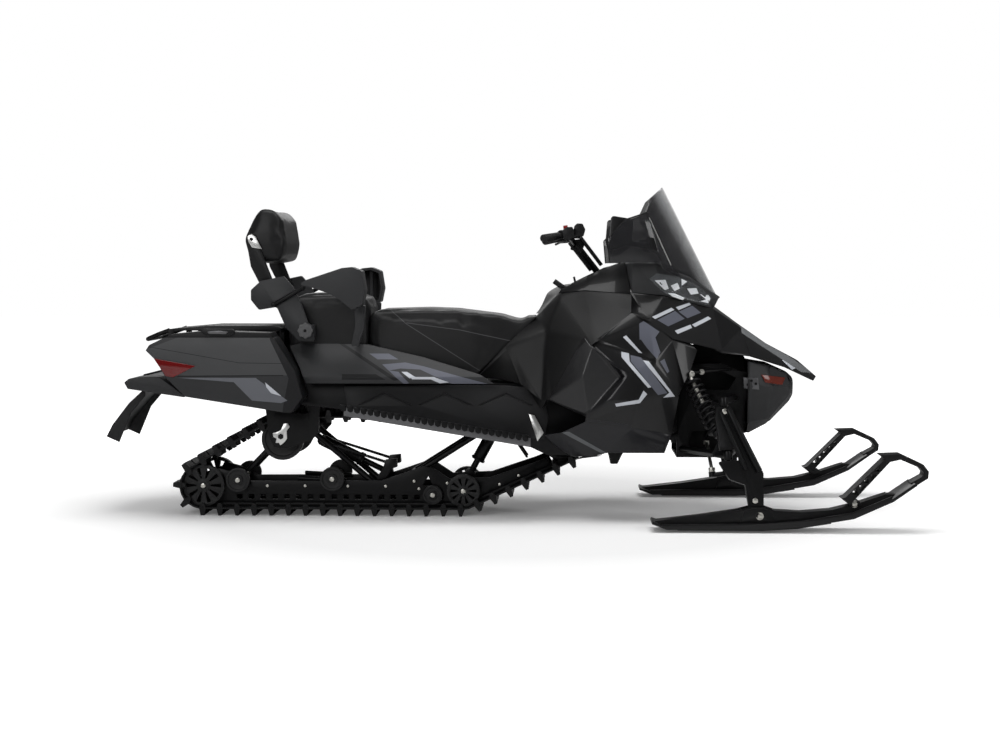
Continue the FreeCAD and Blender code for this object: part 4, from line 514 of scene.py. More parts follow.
webbing = moulded("strap_webbing", (0.02, 0.02, 0.021), 0.7, 1500, 0.8)
STRAP_OUTLINE = [(0.046, 0.298), (0.054, 0.3), (0.098, 0.236), (0.09, 0.234)]
strap = side_cut("limiter_strap", STRAP_OUTLINE, -0.06, -0.03, webbing, bevel=0.001)
other_side(strap, "limiter_strap_left")

# ---- Tunnel, boards and footwells ---------------------------------------------------------
# The tunnel is folded aluminium sheet, painted black inside and out; the running boards keep
# a bare silver lip and a row of pressed teeth. Moulded charcoal covers line the footwells.

bare_alloy = moulded("rolled_alloy", (0.13, 0.13, 0.135), 0.42, 300, 0.15, metallic=0.9)
charcoal = moulded("charcoal_plastic", (0.027, 0.0275, 0.029), 0.46, 1400, 0.35)
rounded("tunnel", black_alloy, 0.0006)
rounded("running_boards", bare_alloy, 0.001)
footwell_plastic = moulded("footwell_plastic", (0.012, 0.012, 0.013), 0.5, 1400, 0.35)
rounded("footwell_panels", footwell_plastic, 0.003)
rounded("idler_brackets", black_alloy, 0.002)
engine_alloy = moulded("engine_alloy", (0.012, 0.012, 0.013), 0.5, 200, 0.4, metallic=0.6)
rounded("engine_block", engine_alloy, 0.008)

bright_alloy = moulded("bright_plate", (0.62, 0.62, 0.61), 0.3, 300, 0.1, metallic=1.0)
bracket_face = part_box("idler_brackets")[0][1]
PLATE_OUTLINE = [
    (-0.96, 0.349), (-0.943, 0.353), (-0.926, 0.363), (-0.913, 0.39), (-0.897, 0.392), (-0.889, 0.376),
    (-0.902, 0.36), (-0.9, 0.327), (-0.912, 0.311), (-0.928, 0.299), (-0.934, 0.31), (-0.948, 0.309),
    (-0.944, 0.327), (-0.957, 0.334),
]
idler_plate = side_cut("idler_plate", PLATE_OUTLINE, bracket_face - 0.007, bracket_face - 0.001, bright_alloy,
                       bevel=0.0012)
other_side(idler_plate, "idler_plate_left")
plate_bolts = bolt_row("plate_bolts", [(-0.926, bracket_face - 0.0072, 0.336)], -1, 0.0125, black_alloy)
other_side(plate_bolts, "plate_bolts_left")

TOOTH_OUTLINE = [(-0.655, 0.485), (-0.627, 0.481), (-0.63, 0.46), (-0.641, 0.456), (-0.652, 0.463)]
TOOTH_COUNT = 28
TOOTH_STEP = (0.0272, 0, -0.00443)
board_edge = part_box("running_boards")[0][1]
tooth = side_cut("board_tooth", TOOTH_OUTLINE, board_edge - 0.003, board_edge + 0.004, black_alloy,
                 bevel=0.0012)
apply(tooth, "ARRAY", count=TOOTH_COUNT, use_relative_offset=False, use_constant_offset=True,
      constant_offset_displace=TOOTH_STEP)
other_side(tooth, "board_teeth_left")

# ---- Front suspension and steering --------------------------------------------------------
# Welded tube A-arms in satin black, forged spindles, coil-over shocks, bright tie rods. Each
# spindle turns with its ski on two ball joints; ribs and zinc bolts stand on its outer face.
# Thin webs close the bay behind the shocks, and stays carry the shocks' upper ends.

rounded("bulkhead", black_alloy, 0.002)
rounded("upper_arms", satin_steel, 0.002)
rounded("lower_arms", satin_steel, 0.002)
SPINDLE_BOLTS = [(0.884, 0.468), (1.0, 0.12)]
SPINDLE_RIBS = [((0.897, 0.478), (1.018, 0.235), 0.012), ((0.868, 0.462), (0.965, 0.24), 0.009)]
WEB_OUTLINE = [
    (0.7, 0.3), (0.69, 0.52), (0.74, 0.7), (0.86, 0.72), (1.0, 0.67), (1.06, 0.56), (1.03, 0.42),
    (0.95, 0.35), (0.79, 0.35), (0.77, 0.29),
]
COOLER_OUTLINE = [(0.985, 0.585), (1.045, 0.583), (1.05, 0.535), (0.988, 0.54)]
COOLER_BOLTS = [(1.003, 0.556), (1.018, 0.572), (1.036, 0.56)]
spindles = {}
for side, name in SIDES:
    coil_over("front_shock_" + name, (0.756, side * 0.256, 0.606), (0.884, side * 0.405, 0.33), 0.038, 0.0105,
              8, "front_shocks")
    spindles[name] = rounded("spindle_" + name, black_alloy, 0.004, "ski_" + name)
    rounded("tie_rod_" + name, zinc, 0.001, "tie_rod_" + name)

for side, name in SIDES:
    spindle = spindles[name]
    bolt_row("spindle_bolts_" + name, [on_side(spindle, x, z, 0.001, side) for x, z in SPINDLE_BOLTS], side,
             0.012, zinc, "ski_" + name)
    for number, (top, foot, radius) in enumerate(SPINDLE_RIBS):
        tube("spindle_rib_%s_%d" % (name, number), on_side(spindle, *top, 0.002, side),
             on_side(spindle, *foot, 0.002, side),
             radius, black_alloy, "ski_" + name)
    plate("inner_web_" + name, [(x, side * 0.05, z) for x, z in WEB_OUTLINE], 0.003, soft_black)
    if side == 1:
        plate("inner_web_low", [(0.76, 0, 0.262), (0.79, 0, 0.36), (0.95, 0, 0.36), (0.975, 0, 0.262)], 0.003,
              soft_black)
    tube("shock_stay_" + name, (0.765, side * 0.262, 0.607), (0.94, side * 0.16, 0.617), 0.006, satin_steel)
    bolt_row("stay_bolts_" + name, [(0.768, side * 0.3, 0.604), (0.812, side * 0.24, 0.609)], side, 0.008)
    plate("cooler_bracket_" + name, [(x, side * 0.212, z) for x, z in COOLER_OUTLINE], 0.003, bare_alloy)
    bolt_row("bracket_bolts_" + name, [(x, side * 0.214, z) for x, z in COOLER_BOLTS], side, 0.006,
             black_alloy)

# ---- Skis ---------------------------------------------------------------------------------
# Each ski is one black polyethylene moulding with a keel. Its lifting loop is screwed to the
# tip, and the loop's strut has a row of three-sided windows, turned up and down by turns.

ski_plastic = moulded("ski_plastic", (0.006, 0.006, 0.0065), 0.34, 160, 0.06, mottle=0.5, uneven=0.2,
                      coat=0.1)
STRUT_FOOT = Vector((1.364, 0, 0.131))
STRUT_TOP = Vector((1.51, 0, 0.284))
WINDOW_COUNT = 5
along = (STRUT_TOP - STRUT_FOOT).normalized()
over = Vector((-along.z, 0, along.x))
for side, name in SIDES:
    ski = rounded("ski_" + name, ski_plastic, 0.004, "ski_" + name, segments=3)
    loop = rounded("ski_loop_" + name, soft_black, 0.005, "ski_" + name, segments=3)
    for step in range(WINDOW_COUNT):
        low = STRUT_FOOT + along * (0.02 + 0.031 * step)
        half = 0.0125 - 0.0012 * step
        turn = 1 if step % 2 else -1
        corners = [low - over * half * turn, low + along * 0.03 - over * half * turn,
                   low + along * 0.015 + over * half * turn]
        outline = [(corner.x, corner.z) for corner in corners]
        wedge = side_cut("lattice_cut", outline, side * 0.3, side * 0.75, ski_plastic, "ski_" + name, bevel=0)
        apply(loop, "BOOLEAN", object=wedge, operation="DIFFERENCE", solver="EXACT")
        bpy.data.objects.remove(wedge)
    smooth(loop, 35)
    ski_bolts = [on_side(ski, 1.016, 0.062, 0.001, side), on_side(loop, 1.384, 0.112, 0.001, side)]
    bolt_row("ski_bolts_" + name, ski_bolts, side, 0.0105, zinc, "ski_" + name)

# ---- Body panels --------------------------------------------------------------------------
# Gloss-black injection mouldings over the engine bay, with blue-grey and silver bands laid on
# as film and near-black seam lines. A lighter patch on each side panel's blister is a painted
# sheen, the dark crescent beside it painted shade, and the grey stripe on the belly a painted
# highlight. The folds between a panel's faces are rolled to a small radius; its rim stays sharp.

RIM_WIDTH = 0.0045
BAND_EDGE = 1600


def softened(node, finish, width=0.009, segments=4, crease=12):
    """The panel with its folds rolled to a radius, standing for the CAD node. Its rim stays sharp."""
    piece = cad_copy(node, node + "_skin")
    mesh = piece.data
    narrow = []
    for face in mesh.polygons:
        longest = max((mesh.vertices[a].co - mesh.vertices[b].co).length for a, b in face.edge_keys)
        narrow.append(face.area / longest < RIM_WIDTH)
    sides = {}
    for face in mesh.polygons:
        for key in face.edge_keys:
            sides.setdefault(key, []).append(face)
    weight = mesh.attributes.new("bevel_weight_edge", "FLOAT", "EDGE")
    for edge in mesh.edges:
        near = sides[edge.key]
        if len(near) == 2 and not narrow[near[0].index] and not narrow[near[1].index]:
            if near[0].normal.angle(near[1].normal, 0) > math.radians(crease):
                weight.data[edge.index].value = 1.0
    apply(piece, "BEVEL", limit_method="WEIGHT", width=width, segments=segments, use_clamp_overlap=False,
          loop_slide=True)
    settle(piece, finish, "chassis", 40)
    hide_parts(node)
    return piece


def mask_of(tree, place, corners):
    """How far inside a convex side outline a point lies, as a mask: 1 inside, 0 outside."""
    middle = (sum(x for x, z in corners) / len(corners), sum(z for x, z in corners) / len(corners))
    mask = None
    for (x0, z0), (x1, z1) in zip(corners, corners[1:] + corners[:1]):
        across = Vector((z0 - z1, 0, x1 - x0)).normalized()
        if across.dot(Vector((middle[0] - x0, 0, middle[1] - z0))) < 0:
            across = -across
        reach = tree.nodes.new("ShaderNodeVectorMath")
        reach.operation = "DOT_PRODUCT"
        reach.inputs[1].default_value = across * BAND_EDGE
        tree.links.new(place, reach.inputs[0])
        side = tree.nodes.new("ShaderNodeMath")
        side.operation = "ADD"
        side.use_clamp = True
        side.inputs[1].default_value = 0.5 - BAND_EDGE * across.dot(Vector((x0, 0, z0)))
        tree.links.new(reach.outputs["Value"], side.inputs[0])
        if mask is None:
            mask = side.outputs[0]
        else:
            both = tree.nodes.new("ShaderNodeMath")
            both.operation = "MULTIPLY"
            tree.links.new(mask, both.inputs[0])
            tree.links.new(side.outputs[0], both.inputs[1])
            mask = both.outputs[0]
    return mask


def banded(finish, name, bands):
    """A copy of a finish with colour bands laid on, each a side outline and its colour."""
    painted = finish.copy()
    painted.name = name
    tree = painted.node_tree
    shader = tree.nodes["Principled BSDF"]
    place = tree.nodes.new("ShaderNodeTexCoord").outputs["Object"]
    colour = shader.inputs["Base Color"].links[0].from_socket
    for corners, shade in bands:
        layer = tree.nodes.new("ShaderNodeMix")
        layer.data_type = "RGBA"
        layer.inputs["B"].default_value = (*shade, 1)
        tree.links.new(mask_of(tree, place, corners), layer.inputs["Factor"])
        tree.links.new(colour, layer.inputs["A"])
        colour = layer.outputs["Result"]
    tree.links.new(colour, shader.inputs["Base Color"])
    return painted


gloss_black = moulded("gloss_black_panel", (0.006, 0.006, 0.0065), 0.34, 60, 0.02, mottle=0.5, uneven=0.1,
                      coat=0.25)
blue_grey = (0.1, 0.105, 0.13)
silver = (0.5, 0.52, 0.56)
# Near-black for the seam lines between panels, and for painted shade and painted shadow.
seam_and_painted_shade = (0.004, 0.004, 0.005)
side_paint = banded(gloss_black, "side_panel_bands_and_painted_light", [
    # Painted sheen: a lighter patch over the knee blister, where its curve catches the light.
    ([(0.34, 0.742), (0.484, 0.607), (0.34, 0.446), (0.179, 0.504), (0.268, 0.67)], (0.02, 0.02, 0.021)),
    ([(0.356, 0.4265), (0.681, 0.3635), (0.681, 0.3605), (0.356, 0.4235)], seam_and_painted_shade),
    # Painted shade: a dark crescent in the crease between the blister and the lower front panel.
    ([(0.36, 0.72), (0.512, 0.614), (0.467, 0.594)], seam_and_painted_shade),
    ([(0.512, 0.614), (0.467, 0.594), (0.456, 0.546), (0.492, 0.555)], seam_and_painted_shade),
    ([(0.492, 0.557), (0.456, 0.548), (0.395, 0.486), (0.428, 0.486)], seam_and_painted_shade),
    ([(0.428, 0.488), (0.395, 0.488), (0.33, 0.451), (0.346, 0.432)], seam_and_painted_shade),
    ([(0.553, 0.809), (0.571, 0.819), (0.635, 0.776), (0.617, 0.753), (0.553, 0.745)], blue_grey),
    ([(0.553, 0.746), (0.617, 0.754), (0.637, 0.694), (0.617, 0.663), (0.581, 0.714)], blue_grey),
    ([(0.635, 0.658), (0.653, 0.668), (0.673, 0.617), (0.665, 0.61)], blue_grey),
    ([(0.486, 0.755), (0.499, 0.762), (0.563, 0.691), (0.548, 0.694)], silver),
    ([(0.479, 0.697), (0.509, 0.691), (0.512, 0.658), (0.479, 0.676)], silver),
    ([(0.479, 0.676), (0.512, 0.658), (0.599, 0.556), (0.586, 0.553)], silver),
    ([(0.563, 0.664), (0.588, 0.66), (0.697, 0.515), (0.675, 0.53)], silver),
    ([(0.677, 0.534), (0.697, 0.515), (0.648, 0.512)], silver),
    ([(0.516, 0.684), (0.557, 0.675), (0.665, 0.53), (0.627, 0.523), (0.516, 0.66)], blue_grey),
    ([(0.453, 0.49), (0.548, 0.507), (0.553, 0.493), (0.458, 0.478)], silver),
    ([(0.548, 0.507), (0.567, 0.543), (0.582, 0.528), (0.553, 0.493)], silver),
])
hood_paint = banded(gloss_black, "hood_bands", [
    ([(0.606, 0.836), (0.687, 0.872), (0.699, 0.863), (0.618, 0.827)], silver),
    ([(0.627, 0.823), (0.702, 0.859), (0.741, 0.827), (0.672, 0.797)], blue_grey),
    ([(0.705, 0.874), (0.762, 0.892), (0.769, 0.884), (0.717, 0.862)], silver),
    ([(0.717, 0.856), (0.774, 0.88), (0.81, 0.851), (0.753, 0.829)], blue_grey),
    ([(0.771, 0.803), (0.84, 0.836), (0.852, 0.826), (0.783, 0.793)], silver),
    ([(0.699, 0.779), (0.765, 0.803), (0.771, 0.79), (0.711, 0.766)], silver),
    ([(1.155, 0.66), (1.221, 0.618), (1.194, 0.613), (1.158, 0.648)], silver),
    ([(0.985, 0.8), (1.305, 0.59), (1.24, 0.6), (0.985, 0.765)], (0.14, 0.145, 0.15)),
])
belly_plastic = moulded("belly_plastic", (0.009, 0.009, 0.011), 0.38, 700, 0.12, coat=0.2)
belly_painted_sheen = banded(belly_plastic, "belly_painted_sheen_band", [
    # Painted highlight: the tapered grey stripe is a sheen across the belly's lower facet.
    ([(0.238, 0.369), (0.269, 0.372), (0.422, 0.286), (0.397, 0.286)], (0.09, 0.095, 0.1)),
])
softened("belly_pan", belly_painted_sheen)
FIN_OUTLINE = [(0.43, 0.268), (0.508, 0.268), (0.49, 0.235), (0.476, 0.206), (0.446, 0.206), (0.44, 0.235)]
side_cut("belly_fin", FIN_OUTLINE, -0.03, 0.03, soft_black, bevel=0.004)
softened("side_panels", side_paint, 0.007, 3)
console_black = moulded("console_black", (0.004, 0.004, 0.0043), 0.44, 900, 0.12, mottle=0.4, shine=0.22)
softened("console", console_black, 0.014)
softened("hood", hood_paint, 0.006)
pod_skin = softened("headlight_pod", charcoal, 0.005, 3)
softened("nose_cover", charcoal, 0.01)
amber_lens = moulded("amber_lens", (0.13, 0.014, 0.005), 0.35, 60, 0.05, coat=0.7)
rounded("front_reflectors", amber_lens, 0.001)

# ---- Headlamps and dash cowl --------------------------------------------------------------
# Faceted reflectors of bright metallised plastic under a clear lens, one on each side of the
# pod; behind it a thin black cowl round the gauges, with the pull knobs on the right.

lamp_silver = moulded("lamp_reflector", (0.85, 0.87, 0.9), 0.25, 60, 0.02, metallic=0.15, coat=0.4)
clear_lens = bpy.data.materials.new("clear_lens")
clear_lens.use_nodes = True
lens_shader = clear_lens.node_tree.nodes["Principled BSDF"]
lens_shader.inputs["Base Color"].default_value = (0.5, 0.53, 0.56, 1)
lens_shader.inputs["Roughness"].default_value = 0.03
lens_shader.inputs["Alpha"].default_value = 0.08
LENS_EDGE = [(0.596, 0.99), (0.66, 0.93), (0.842, 0.882), (0.862, 0.914), (0.788, 0.966), (0.714, 1.0),
             (0.625, 1.012)]
FACETS = [
    [(0.618, 0.984), (0.662, 0.986), (0.676, 0.95), (0.66, 0.944)],
    [(0.728, 0.99), (0.752, 0.979), (0.73, 0.962)],
    [(0.684, 0.962), (0.712, 0.974), (0.722, 0.95), (0.7, 0.94)],
    [(0.672, 0.932), (0.7, 0.93), (0.742, 0.912), (0.735, 0.902), (0.69, 0.918)],
    [(0.752, 0.95), (0.79, 0.952), (0.8, 0.93), (0.768, 0.925)],
    [(0.806, 0.926), (0.845, 0.922), (0.852, 0.908), (0.84, 0.89), (0.808, 0.898), (0.832, 0.906)],
]
FACET_LEAN = [0.001, 0.006, 0.003, 0.005, 0.002, 0.004]
COWL_LOW = [(0.226, 0.134, 0.93), (0.333, 0.174, 0.942), (0.43, 0.195, 0.934), (0.522, 0.214, 0.93)]
COWL_HIGH = [(0.236, 0.13, 0.946), (0.333, 0.15, 0.995), (0.42, 0.168, 1.036), (0.5, 0.176, 1.058)]
KNEE_SHIELD = [(0.105, 0.262, 0.436), (0.128, 0.262, 0.43), (0.166, 0.272, 0.36), (0.14, 0.27, 0.326),
               (0.122, 0.268, 0.38)]
for side, name in SIDES:
    plate("lamp_bezel_" + name, [on_side(pod_skin, x, z, 0.002, side) for x, z in LENS_EDGE], 0.002,
          gloss_black)
    for number, facet in enumerate(FACETS):
        points = []
        for corner, (x, z) in enumerate(facet):
            lift = 0.0035 + FACET_LEAN[(number + corner) % len(FACET_LEAN)]
            points.append(on_side(pod_skin, x, z, lift, side))
        plate("lamp_facet_%s_%d" % (name, number), points, 0.0015, lamp_silver, bevel=0.0003)
    plate("lamp_lens_" + name, [on_side(pod_skin, x, z, 0.012, side) for x, z in LENS_EDGE], 0.002,
          clear_lens)
    cowl = [[(x, side * y, z) for x, y, z in row] for row in (COWL_LOW, COWL_HIGH)]
    bent_sheet("dash_cowl_" + name, cowl, 0.004, gloss_black)
    plate("knee_shield_" + name, [(x, side * y, z) for x, y, z in KNEE_SHIELD], 0.003, bright_alloy)
plate("gauge_panel", [(0.42, -0.166, 1.03), (0.42, 0.166, 1.03), (0.5, 0.172, 1.056), (0.5, -0.172, 1.056)],
      0.004, soft_black)
screen = moulded("gauge_screen", (0.01, 0.014, 0.016), 0.08, 60, 0.01, coat=0.8)
plate("gauge_window", [(0.436, -0.085, 1.0385), (0.436, 0.085, 1.0385), (0.484, 0.08, 1.0545),
                       (0.484, -0.08, 1.0545)], 0.004, screen)
tube("starter_knob", (0.262, -0.1, 0.94), (0.206, -0.1, 0.98), 0.011, soft_black)
tube("choke_stub", (0.302, -0.1, 0.945), (0.289, -0.1, 0.998), 0.0045, soft_black)

# ---- Seats --------------------------------------------------------------------------------
# Foam under stretched grained vinyl on a hidden tray: the crown swells, the sides pull in to
# the stapled edge. Grey piping is sewn along the seams of the driver's seat.

piping_colour = (0.05, 0.05, 0.052)
vinyl = moulded("seat_vinyl", (0.009, 0.009, 0.0095), 0.42, 420, 0.55, mottle=0.2)


SWELL_FRAMES = 20


def cushion(node, finish, body, edge=0.03, voxel=0.011, cap=0.006, shape=None):
    """A padded copy of a soft solid: rounded, swollen by a cloth run, its swell kept under the cap."""
    piece = cad_copy(node, node + "_cushion")
    apply(piece, "BEVEL", limit_method="ANGLE", angle_limit=math.radians(30), width=edge, segments=4)
    apply(piece, "REMESH", mode="VOXEL", voxel_size=voxel)
    if shape:
        for point in piece.data.vertices:
            point.co = shape(point.co)
    apply(piece, "SMOOTH", factor=0.6, iterations=6)
    start = [point.co.copy() for point in piece.data.vertices]
    only(piece)
    cloth = piece.modifiers.new("swell", "CLOTH")
    cloth.settings.quality = 4
    cloth.settings.mass = 0.4
    cloth.settings.use_pressure = True
    cloth.settings.uniform_pressure_force = 4
    cloth.settings.effector_weights.gravity = 0
    for moment in range(1, SWELL_FRAMES + 1):
        scene.frame_set(moment)
    bpy.ops.object.modifier_apply(modifier=cloth.name)
    scene.frame_set(1)
    for point, before in zip(piece.data.vertices, start):
        move = point.co - before
        if move.length > cap:
            point.co = before + move.normalized() * cap
    apply(piece, "SUBSURF", levels=1, render_levels=1)
    settle(piece, finish, body, 70)
    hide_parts(node)


def driver_shape(point):
    """Narrow between the knees, its sides falling inwards to the top, its front pressed on the console."""
    share = min(max((point.z - 0.58) / 0.28, 0), 1)
    front = min(max((point.x + 0.13) / 0.17, 0), 1)
    width = 1.0 - 0.16 * front * share - 0.1 * share * share
    return Vector((point.x + 0.016 * front, point.y * width, point.z - 0.003))


driver_vinyl = banded(vinyl, "driver_seat_seams", [
    ([(-0.405, 0.809), (-0.182, 0.78), (-0.182, 0.7765), (-0.405, 0.8055)], piping_colour),
    ([(-0.182, 0.78), (0.041, 0.731), (0.041, 0.7275), (-0.182, 0.7765)], piping_colour),
    ([(-0.57, 0.945), (-0.405, 0.805), (-0.405, 0.801), (-0.57, 0.941)], piping_colour),
    ([(-0.405, 0.805), (-0.099, 0.611), (-0.099, 0.607), (-0.405, 0.801)], piping_colour),
])
cushion("seat_driver", driver_vinyl, "chassis", shape=driver_shape)
cushion("seat_passenger", vinyl, "chassis")

# ---- Fairing, saddlebags and rack ---------------------------------------------------------
# Grained charcoal polypropylene: a fairing clipped to each side of the tunnel, two bags bolted
# on behind it with hinged lids, and a rack deck between them. The bands are blue-grey and
# silver film and near-black seam lines; the bags' front frames are black. On the fairing a dark
# groove line is painted shade and a dark wedge near its foot a painted shadow.

fairing_paint = banded(charcoal, "fairing_bands_and_painted_shade", [
    # Painted shade: a dark line along a groove.
    ([(-0.69, 0.725), (-0.672, 0.727), (-0.425, 0.577), (-0.447, 0.574)], seam_and_painted_shade),
    # Painted shadow: a dark wedge near the fairing's foot.
    ([(-0.66, 0.6), (-0.52, 0.6), (-0.48, 0.578), (-0.66, 0.578)], seam_and_painted_shade),
    ([(-0.555, 0.682), (-0.474, 0.682), (-0.433, 0.659), (-0.519, 0.659)], blue_grey),
    ([(-0.498, 0.639), (-0.404, 0.647), (-0.421, 0.623), (-0.47, 0.615)], blue_grey),
    ([(-0.404, 0.647), (-0.323, 0.631), (-0.339, 0.619), (-0.421, 0.623)], blue_grey),
    ([(-0.324, 0.631), (-0.062, 0.562), (-0.209, 0.562), (-0.34, 0.619)], blue_grey),
    ([(-0.47, 0.616), (-0.429, 0.61), (-0.384, 0.564), (-0.404, 0.559)], blue_grey),
    ([(-0.417, 0.61), (-0.394, 0.61), (-0.358, 0.589), (-0.382, 0.584)], silver),
    ([(-0.378, 0.59), (-0.28, 0.59), (-0.288, 0.58), (-0.372, 0.58)], silver),
    ([(-0.284, 0.59), (-0.221, 0.568), (-0.258, 0.564), (-0.296, 0.58)], silver),
])
rounded("rear_side_panels", fairing_paint, 0.004)
bag_frame = (0.008, 0.008, 0.009)
bag_paint = banded(charcoal, "saddlebag_bands", [
    ([(-1.46, 0.7), (-1.3, 0.76), (-0.93, 0.76), (-0.86, 0.6), (-1.3, 0.597), (-1.4, 0.6)],
     (0.055, 0.056, 0.058)),
    ([(-0.943, 0.82), (-0.943, 0.744), (-0.868, 0.587), (-0.7, 0.587), (-0.75, 0.82)], bag_frame),
    ([(-0.868, 0.588), (-0.89, 0.479), (-0.9, 0.4), (-0.7, 0.4), (-0.7, 0.588)], bag_frame),
    ([(-1.322, 0.589), (-0.999, 0.589), (-1.0, 0.572), (-1.1, 0.572)], (0.12, 0.125, 0.14)),
    ([(-1.106, 0.586), (-0.999, 0.586), (-0.873, 0.497), (-0.9, 0.487), (-1.018, 0.497)],
     (0.12, 0.125, 0.14)),
    ([(-0.964, 0.571), (-0.898, 0.515), (-0.94, 0.527), (-0.958, 0.55)], silver),
    ([(-1.322, 0.597), (-0.89, 0.601), (-0.89, 0.597), (-1.322, 0.593)], seam_and_painted_shade),
    ([(-1.44, 0.716), (-1.07, 0.651), (-1.07, 0.649), (-1.44, 0.714)], seam_and_painted_shade),
    ([(-1.07, 0.651), (-0.88, 0.648), (-0.88, 0.646), (-1.07, 0.649)], seam_and_painted_shade),
])
rounded("saddlebags", bag_paint, 0.006, segments=3)
lid = rounded("bag_lid_right", soft_black, 0.006, "bag_lid_right", segments=3)
rounded("bag_lid_left", soft_black, 0.006, "bag_lid_left", segments=3)
LATCH_RIM = [
    (-1.226, 0.781), (-1.214, 0.766), (-1.19, 0.7585), (-1.11, 0.7585), (-1.09, 0.766), (-1.083, 0.779),
    (-1.094, 0.787), (-1.214, 0.788),
]
PULL_RIM = [(-1.196, 0.777), (-1.19, 0.768), (-1.12, 0.767), (-1.11, 0.777), (-1.15, 0.781)]
latch_face = on_side(lid, -1.15, 0.772).y
latch = side_cut("bag_latch_right", LATCH_RIM, latch_face - 0.008, latch_face + 0.004, soft_black,
                 "bag_lid_right", bevel=0.002)
pull = side_cut("bag_pull_right", PULL_RIM, latch_face - 0.011, latch_face - 0.004, bare_alloy,
                "bag_lid_right", bevel=0.0015)
other_side(latch, "bag_latch_left", "bag_lid_left")
other_side(pull, "bag_pull_left", "bag_lid_left")
red_lens = moulded("red_lens", (0.13, 0.001, 0.0015), 0.14, 60, 0.05, coat=0.7)
rounded("taillights", red_lens, 0.0015)
rounded("rear_rack", soft_black, 0.003)
rounded("tail_bumper", charcoal, 0.005, segments=3)
flap_rubber = moulded("flap_rubber", (0.016, 0.016, 0.017), 0.6, 300, 0.5, mottle=0.5)
rounded("snow_flap", flap_rubber, 0.002)

# ---- Backrest and hand guards -------------------------------------------------------------
# A vinyl pad on two black arms that tilt on bright pivot plates. Moulded charcoal brackets hold
# the arms to the bags, each locked by a scalloped grey knob. A guard stands before each grip of
# the passenger's seat.

cushion("backrest_pad", vinyl, "backrest", edge=0.024)
arms = rounded("backrest_arms", soft_black, 0.002, "backrest")
brackets = rounded("backrest_brackets", charcoal, 0.003)
rounded("hand_guards", charcoal, 0.008, segments=3)
grey_knob = moulded("grey_knob", (0.09, 0.09, 0.092), 0.45, 300, 0.2)
PIVOT_OUTLINE = [(-1.054, 1.164), (-1.036, 1.173), (-1.02, 1.162), (-0.994, 1.112), (-1.034, 1.118),
                 (-1.05, 1.142)]
KNOB_X = -0.811
KNOB_Z = 0.778
KNOB_LOBES = 8
for side, name in SIDES:
    hinge_face = on_side(arms, -1.035, 1.14, 0.0, side).y
    plate("pivot_plate_" + name, [(x, hinge_face + side * 0.003, z) for x, z in PIVOT_OUTLINE], 0.004,
          bright_alloy, "backrest")
    bolt_row("pivot_bolt_" + name, [(-1.037, hinge_face + side * 0.005, 1.153)], side, 0.008, black_alloy,
             "backrest")
    link_y = on_side(brackets, -0.94, 0.885, 0.0, side).y + side * 0.008
    bolt_y = link_y + side * 0.008
    tube("bracket_link_" + name, (-0.943, link_y, 0.884), (-0.822, link_y, 0.953), 0.009, black_alloy)
    bolt_row("link_bolts_" + name, [(-0.943, bolt_y, 0.884), (-0.822, bolt_y, 0.953)], side, 0.008,
             black_alloy)
    knob_face = on_side(brackets, KNOB_X, KNOB_Z, 0.0, side).y
    bpy.ops.object.select_all(action="DESELECT")
    bpy.ops.mesh.primitive_cylinder_add(vertices=64, radius=0.03, depth=0.018,
                                        rotation=(math.radians(90), 0, 0),
                                        location=(KNOB_X, knob_face + side * 0.008, KNOB_Z))
    knob = bpy.context.object
    knob.name = "bag_knob_" + name
    bpy.ops.object.transform_apply(location=True, rotation=True, scale=True)
    for point in knob.data.vertices:
        turn = math.atan2(point.co.z - KNOB_Z, point.co.x - KNOB_X)
        reach = 1.0 + 0.07 * math.cos(KNOB_LOBES * turn)
        point.co.x = KNOB_X + (point.co.x - KNOB_X) * reach
        point.co.z = KNOB_Z + (point.co.z - KNOB_Z) * reach
    apply(knob, "BEVEL", limit_method="ANGLE", angle_limit=math.radians(50), width=0.003, segments=3)
    settle(knob, grey_knob, "chassis")
    bolt_row("knob_screw_" + name, [(KNOB_X, knob_face + side * 0.016, KNOB_Z)], side, 0.007, black_alloy)

# ---- Windshield and mirrors ---------------------------------------------------------------
# Heat-formed smoked polycarbonate, screwed to the pod: nearly clear along its front fold and
# darker to the sides. Its colour is light grey along the fold, a painted sheen, and a thin bright
# rod on each fold is a painted highlight. A wing with a black edge strip and a mirror stand at
# each side.

WING_LOW = [(0.644, 0.284, 1.056), (0.6, 0.3, 1.056), (0.5, 0.308, 1.056), (0.431, 0.313, 1.055)]
WING_HIGH = [(0.583, 0.284, 1.26), (0.55, 0.3, 1.248), (0.496, 0.308, 1.23), (0.423, 0.313, 1.152)]
smoked = bpy.data.materials.new("smoked_sheet")
smoked.use_nodes = True
tree = smoked.node_tree
shader = tree.nodes["Principled BSDF"]
shader.inputs["Roughness"].default_value = 0.06
place = tree.nodes.new("ShaderNodeTexCoord")
depth = tree.nodes.new("ShaderNodeVectorMath")
depth.operation = "DOT_PRODUCT"
depth.inputs[1].default_value = (-0.875, 0, -0.484)
tree.links.new(place.outputs["Object"], depth.inputs[0])
clearing = tree.nodes.new("ShaderNodeMapRange")
clearing.inputs["From Min"].default_value = -1.238
clearing.inputs["From Max"].default_value = -1.168
clearing.inputs["To Min"].default_value = 0.3
clearing.inputs["To Max"].default_value = 0.72
tree.links.new(depth.outputs["Value"], clearing.inputs["Value"])
tree.links.new(clearing.outputs["Result"], shader.inputs["Alpha"])
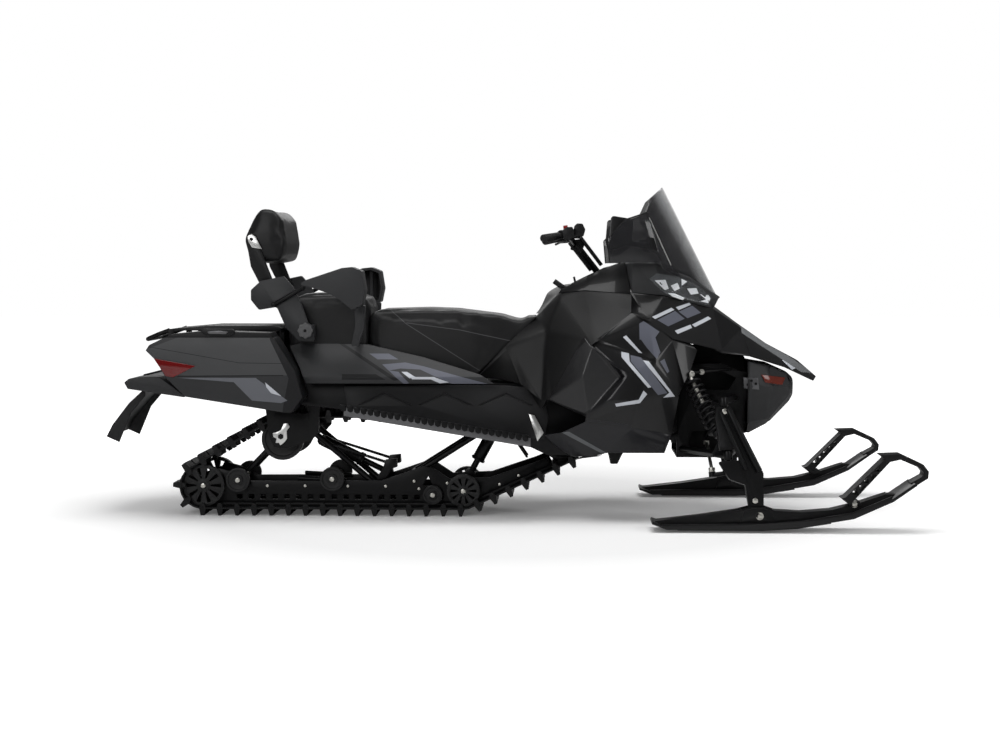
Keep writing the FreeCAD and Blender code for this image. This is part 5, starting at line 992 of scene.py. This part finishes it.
# Painted sheen: light grey along the front fold, turning smoke-dark to the sides.
tone_and_sheen = tree.nodes.new("ShaderNodeValToRGB")
tone_and_sheen.color_ramp.elements[0].position = 0.0
tone_and_sheen.color_ramp.elements[0].color = (0.3, 0.31, 0.32, 1)
tone_and_sheen.color_ramp.elements[1].position = 0.7
tone_and_sheen.color_ramp.elements[1].color = (0.02, 0.02, 0.022, 1)
spread = tree.nodes.new("ShaderNodeMapRange")
spread.inputs["From Min"].default_value = -1.238
spread.inputs["From Max"].default_value = -1.14
tree.links.new(depth.outputs["Value"], spread.inputs["Value"])
tree.links.new(spread.outputs["Result"], tone_and_sheen.inputs["Fac"])
tree.links.new(tone_and_sheen.outputs["Color"], shader.inputs["Base Color"])
shield = rounded("windshield", smoked, 0.0008)
for side, name in SIDES:
    low, high = [[(x, side * y, z) for x, y, z in row] for row in (WING_LOW, WING_HIGH)]
    bent_sheet("windshield_wing_" + name, [low, high], 0.003, smoked)
    # Painted highlight: a thin bright rod along each fold stands for the glint the fold catches.
    fold_top = on_side(shield, 0.592, 1.238, 0.0, side)
    fold_foot = on_side(shield, 0.684, 1.045, 0.0, side)
    tube("shield_fold_glint_" + name, fold_top, fold_foot, 0.0018, bright_alloy, sides=10)
    rim = [low[3], high[3], high[2], high[1], high[0]]
    for number, (start, end) in enumerate(zip(rim, rim[1:])):
        tube("wing_edge_%s_%d" % (name, number), start, end, 0.0025, soft_black, sides=12)
rounded("mirrors", gloss_black, 0.004)

# ---- Handlebar ----------------------------------------------------------------------------
# A bent steel bar on a tall riser of thin tubes, with rubber grips. The brake's reservoir and
# the switch blocks are plastic housings clamped beside the grips; the stop switch is red.

RESERVOIR_OUTLINE = [(0.283, 1.164), (0.288, 1.204), (0.3, 1.215), (0.322, 1.214), (0.334, 1.19),
                     (0.326, 1.162)]
SWITCH_OUTLINE = [(0.243, 1.152), (0.24, 1.186), (0.256, 1.199), (0.282, 1.2), (0.29, 1.16), (0.27, 1.145)]
rounded("handlebar", satin_steel, 0.002, "handlebar")
grip_rubber = moulded("grip_rubber", (0.015, 0.015, 0.015), 0.7, 500, 0.6)
rounded("bar_grips", grip_rubber, 0.002, "handlebar")
rounded("bar_controls", soft_black, 0.002, "handlebar")
for side, name in SIDES:
    tube("riser_rear_" + name, (0.27, side * 0.034, 1.142), (0.362, side * 0.034, 1.024), 0.0075, satin_steel,
         "handlebar")
    tube("riser_front_" + name, (0.318, side * 0.034, 1.162), (0.406, side * 0.034, 1.046), 0.0075,
         satin_steel, "handlebar")
    side_cut("reservoir_" + name, RESERVOIR_OUTLINE, side * 0.235, side * 0.29, soft_black, "handlebar",
             bevel=0.004)
    side_cut("switch_block_" + name, SWITCH_OUTLINE, side * 0.29, side * 0.335, soft_black, "handlebar",
             bevel=0.005)
red_button = moulded("red_button", (0.25, 0.01, 0.008), 0.4, 100, 0.1)
tube("stop_switch", (0.254, -0.31, 1.19), (0.252, -0.31, 1.206), 0.009, red_button, "handlebar")
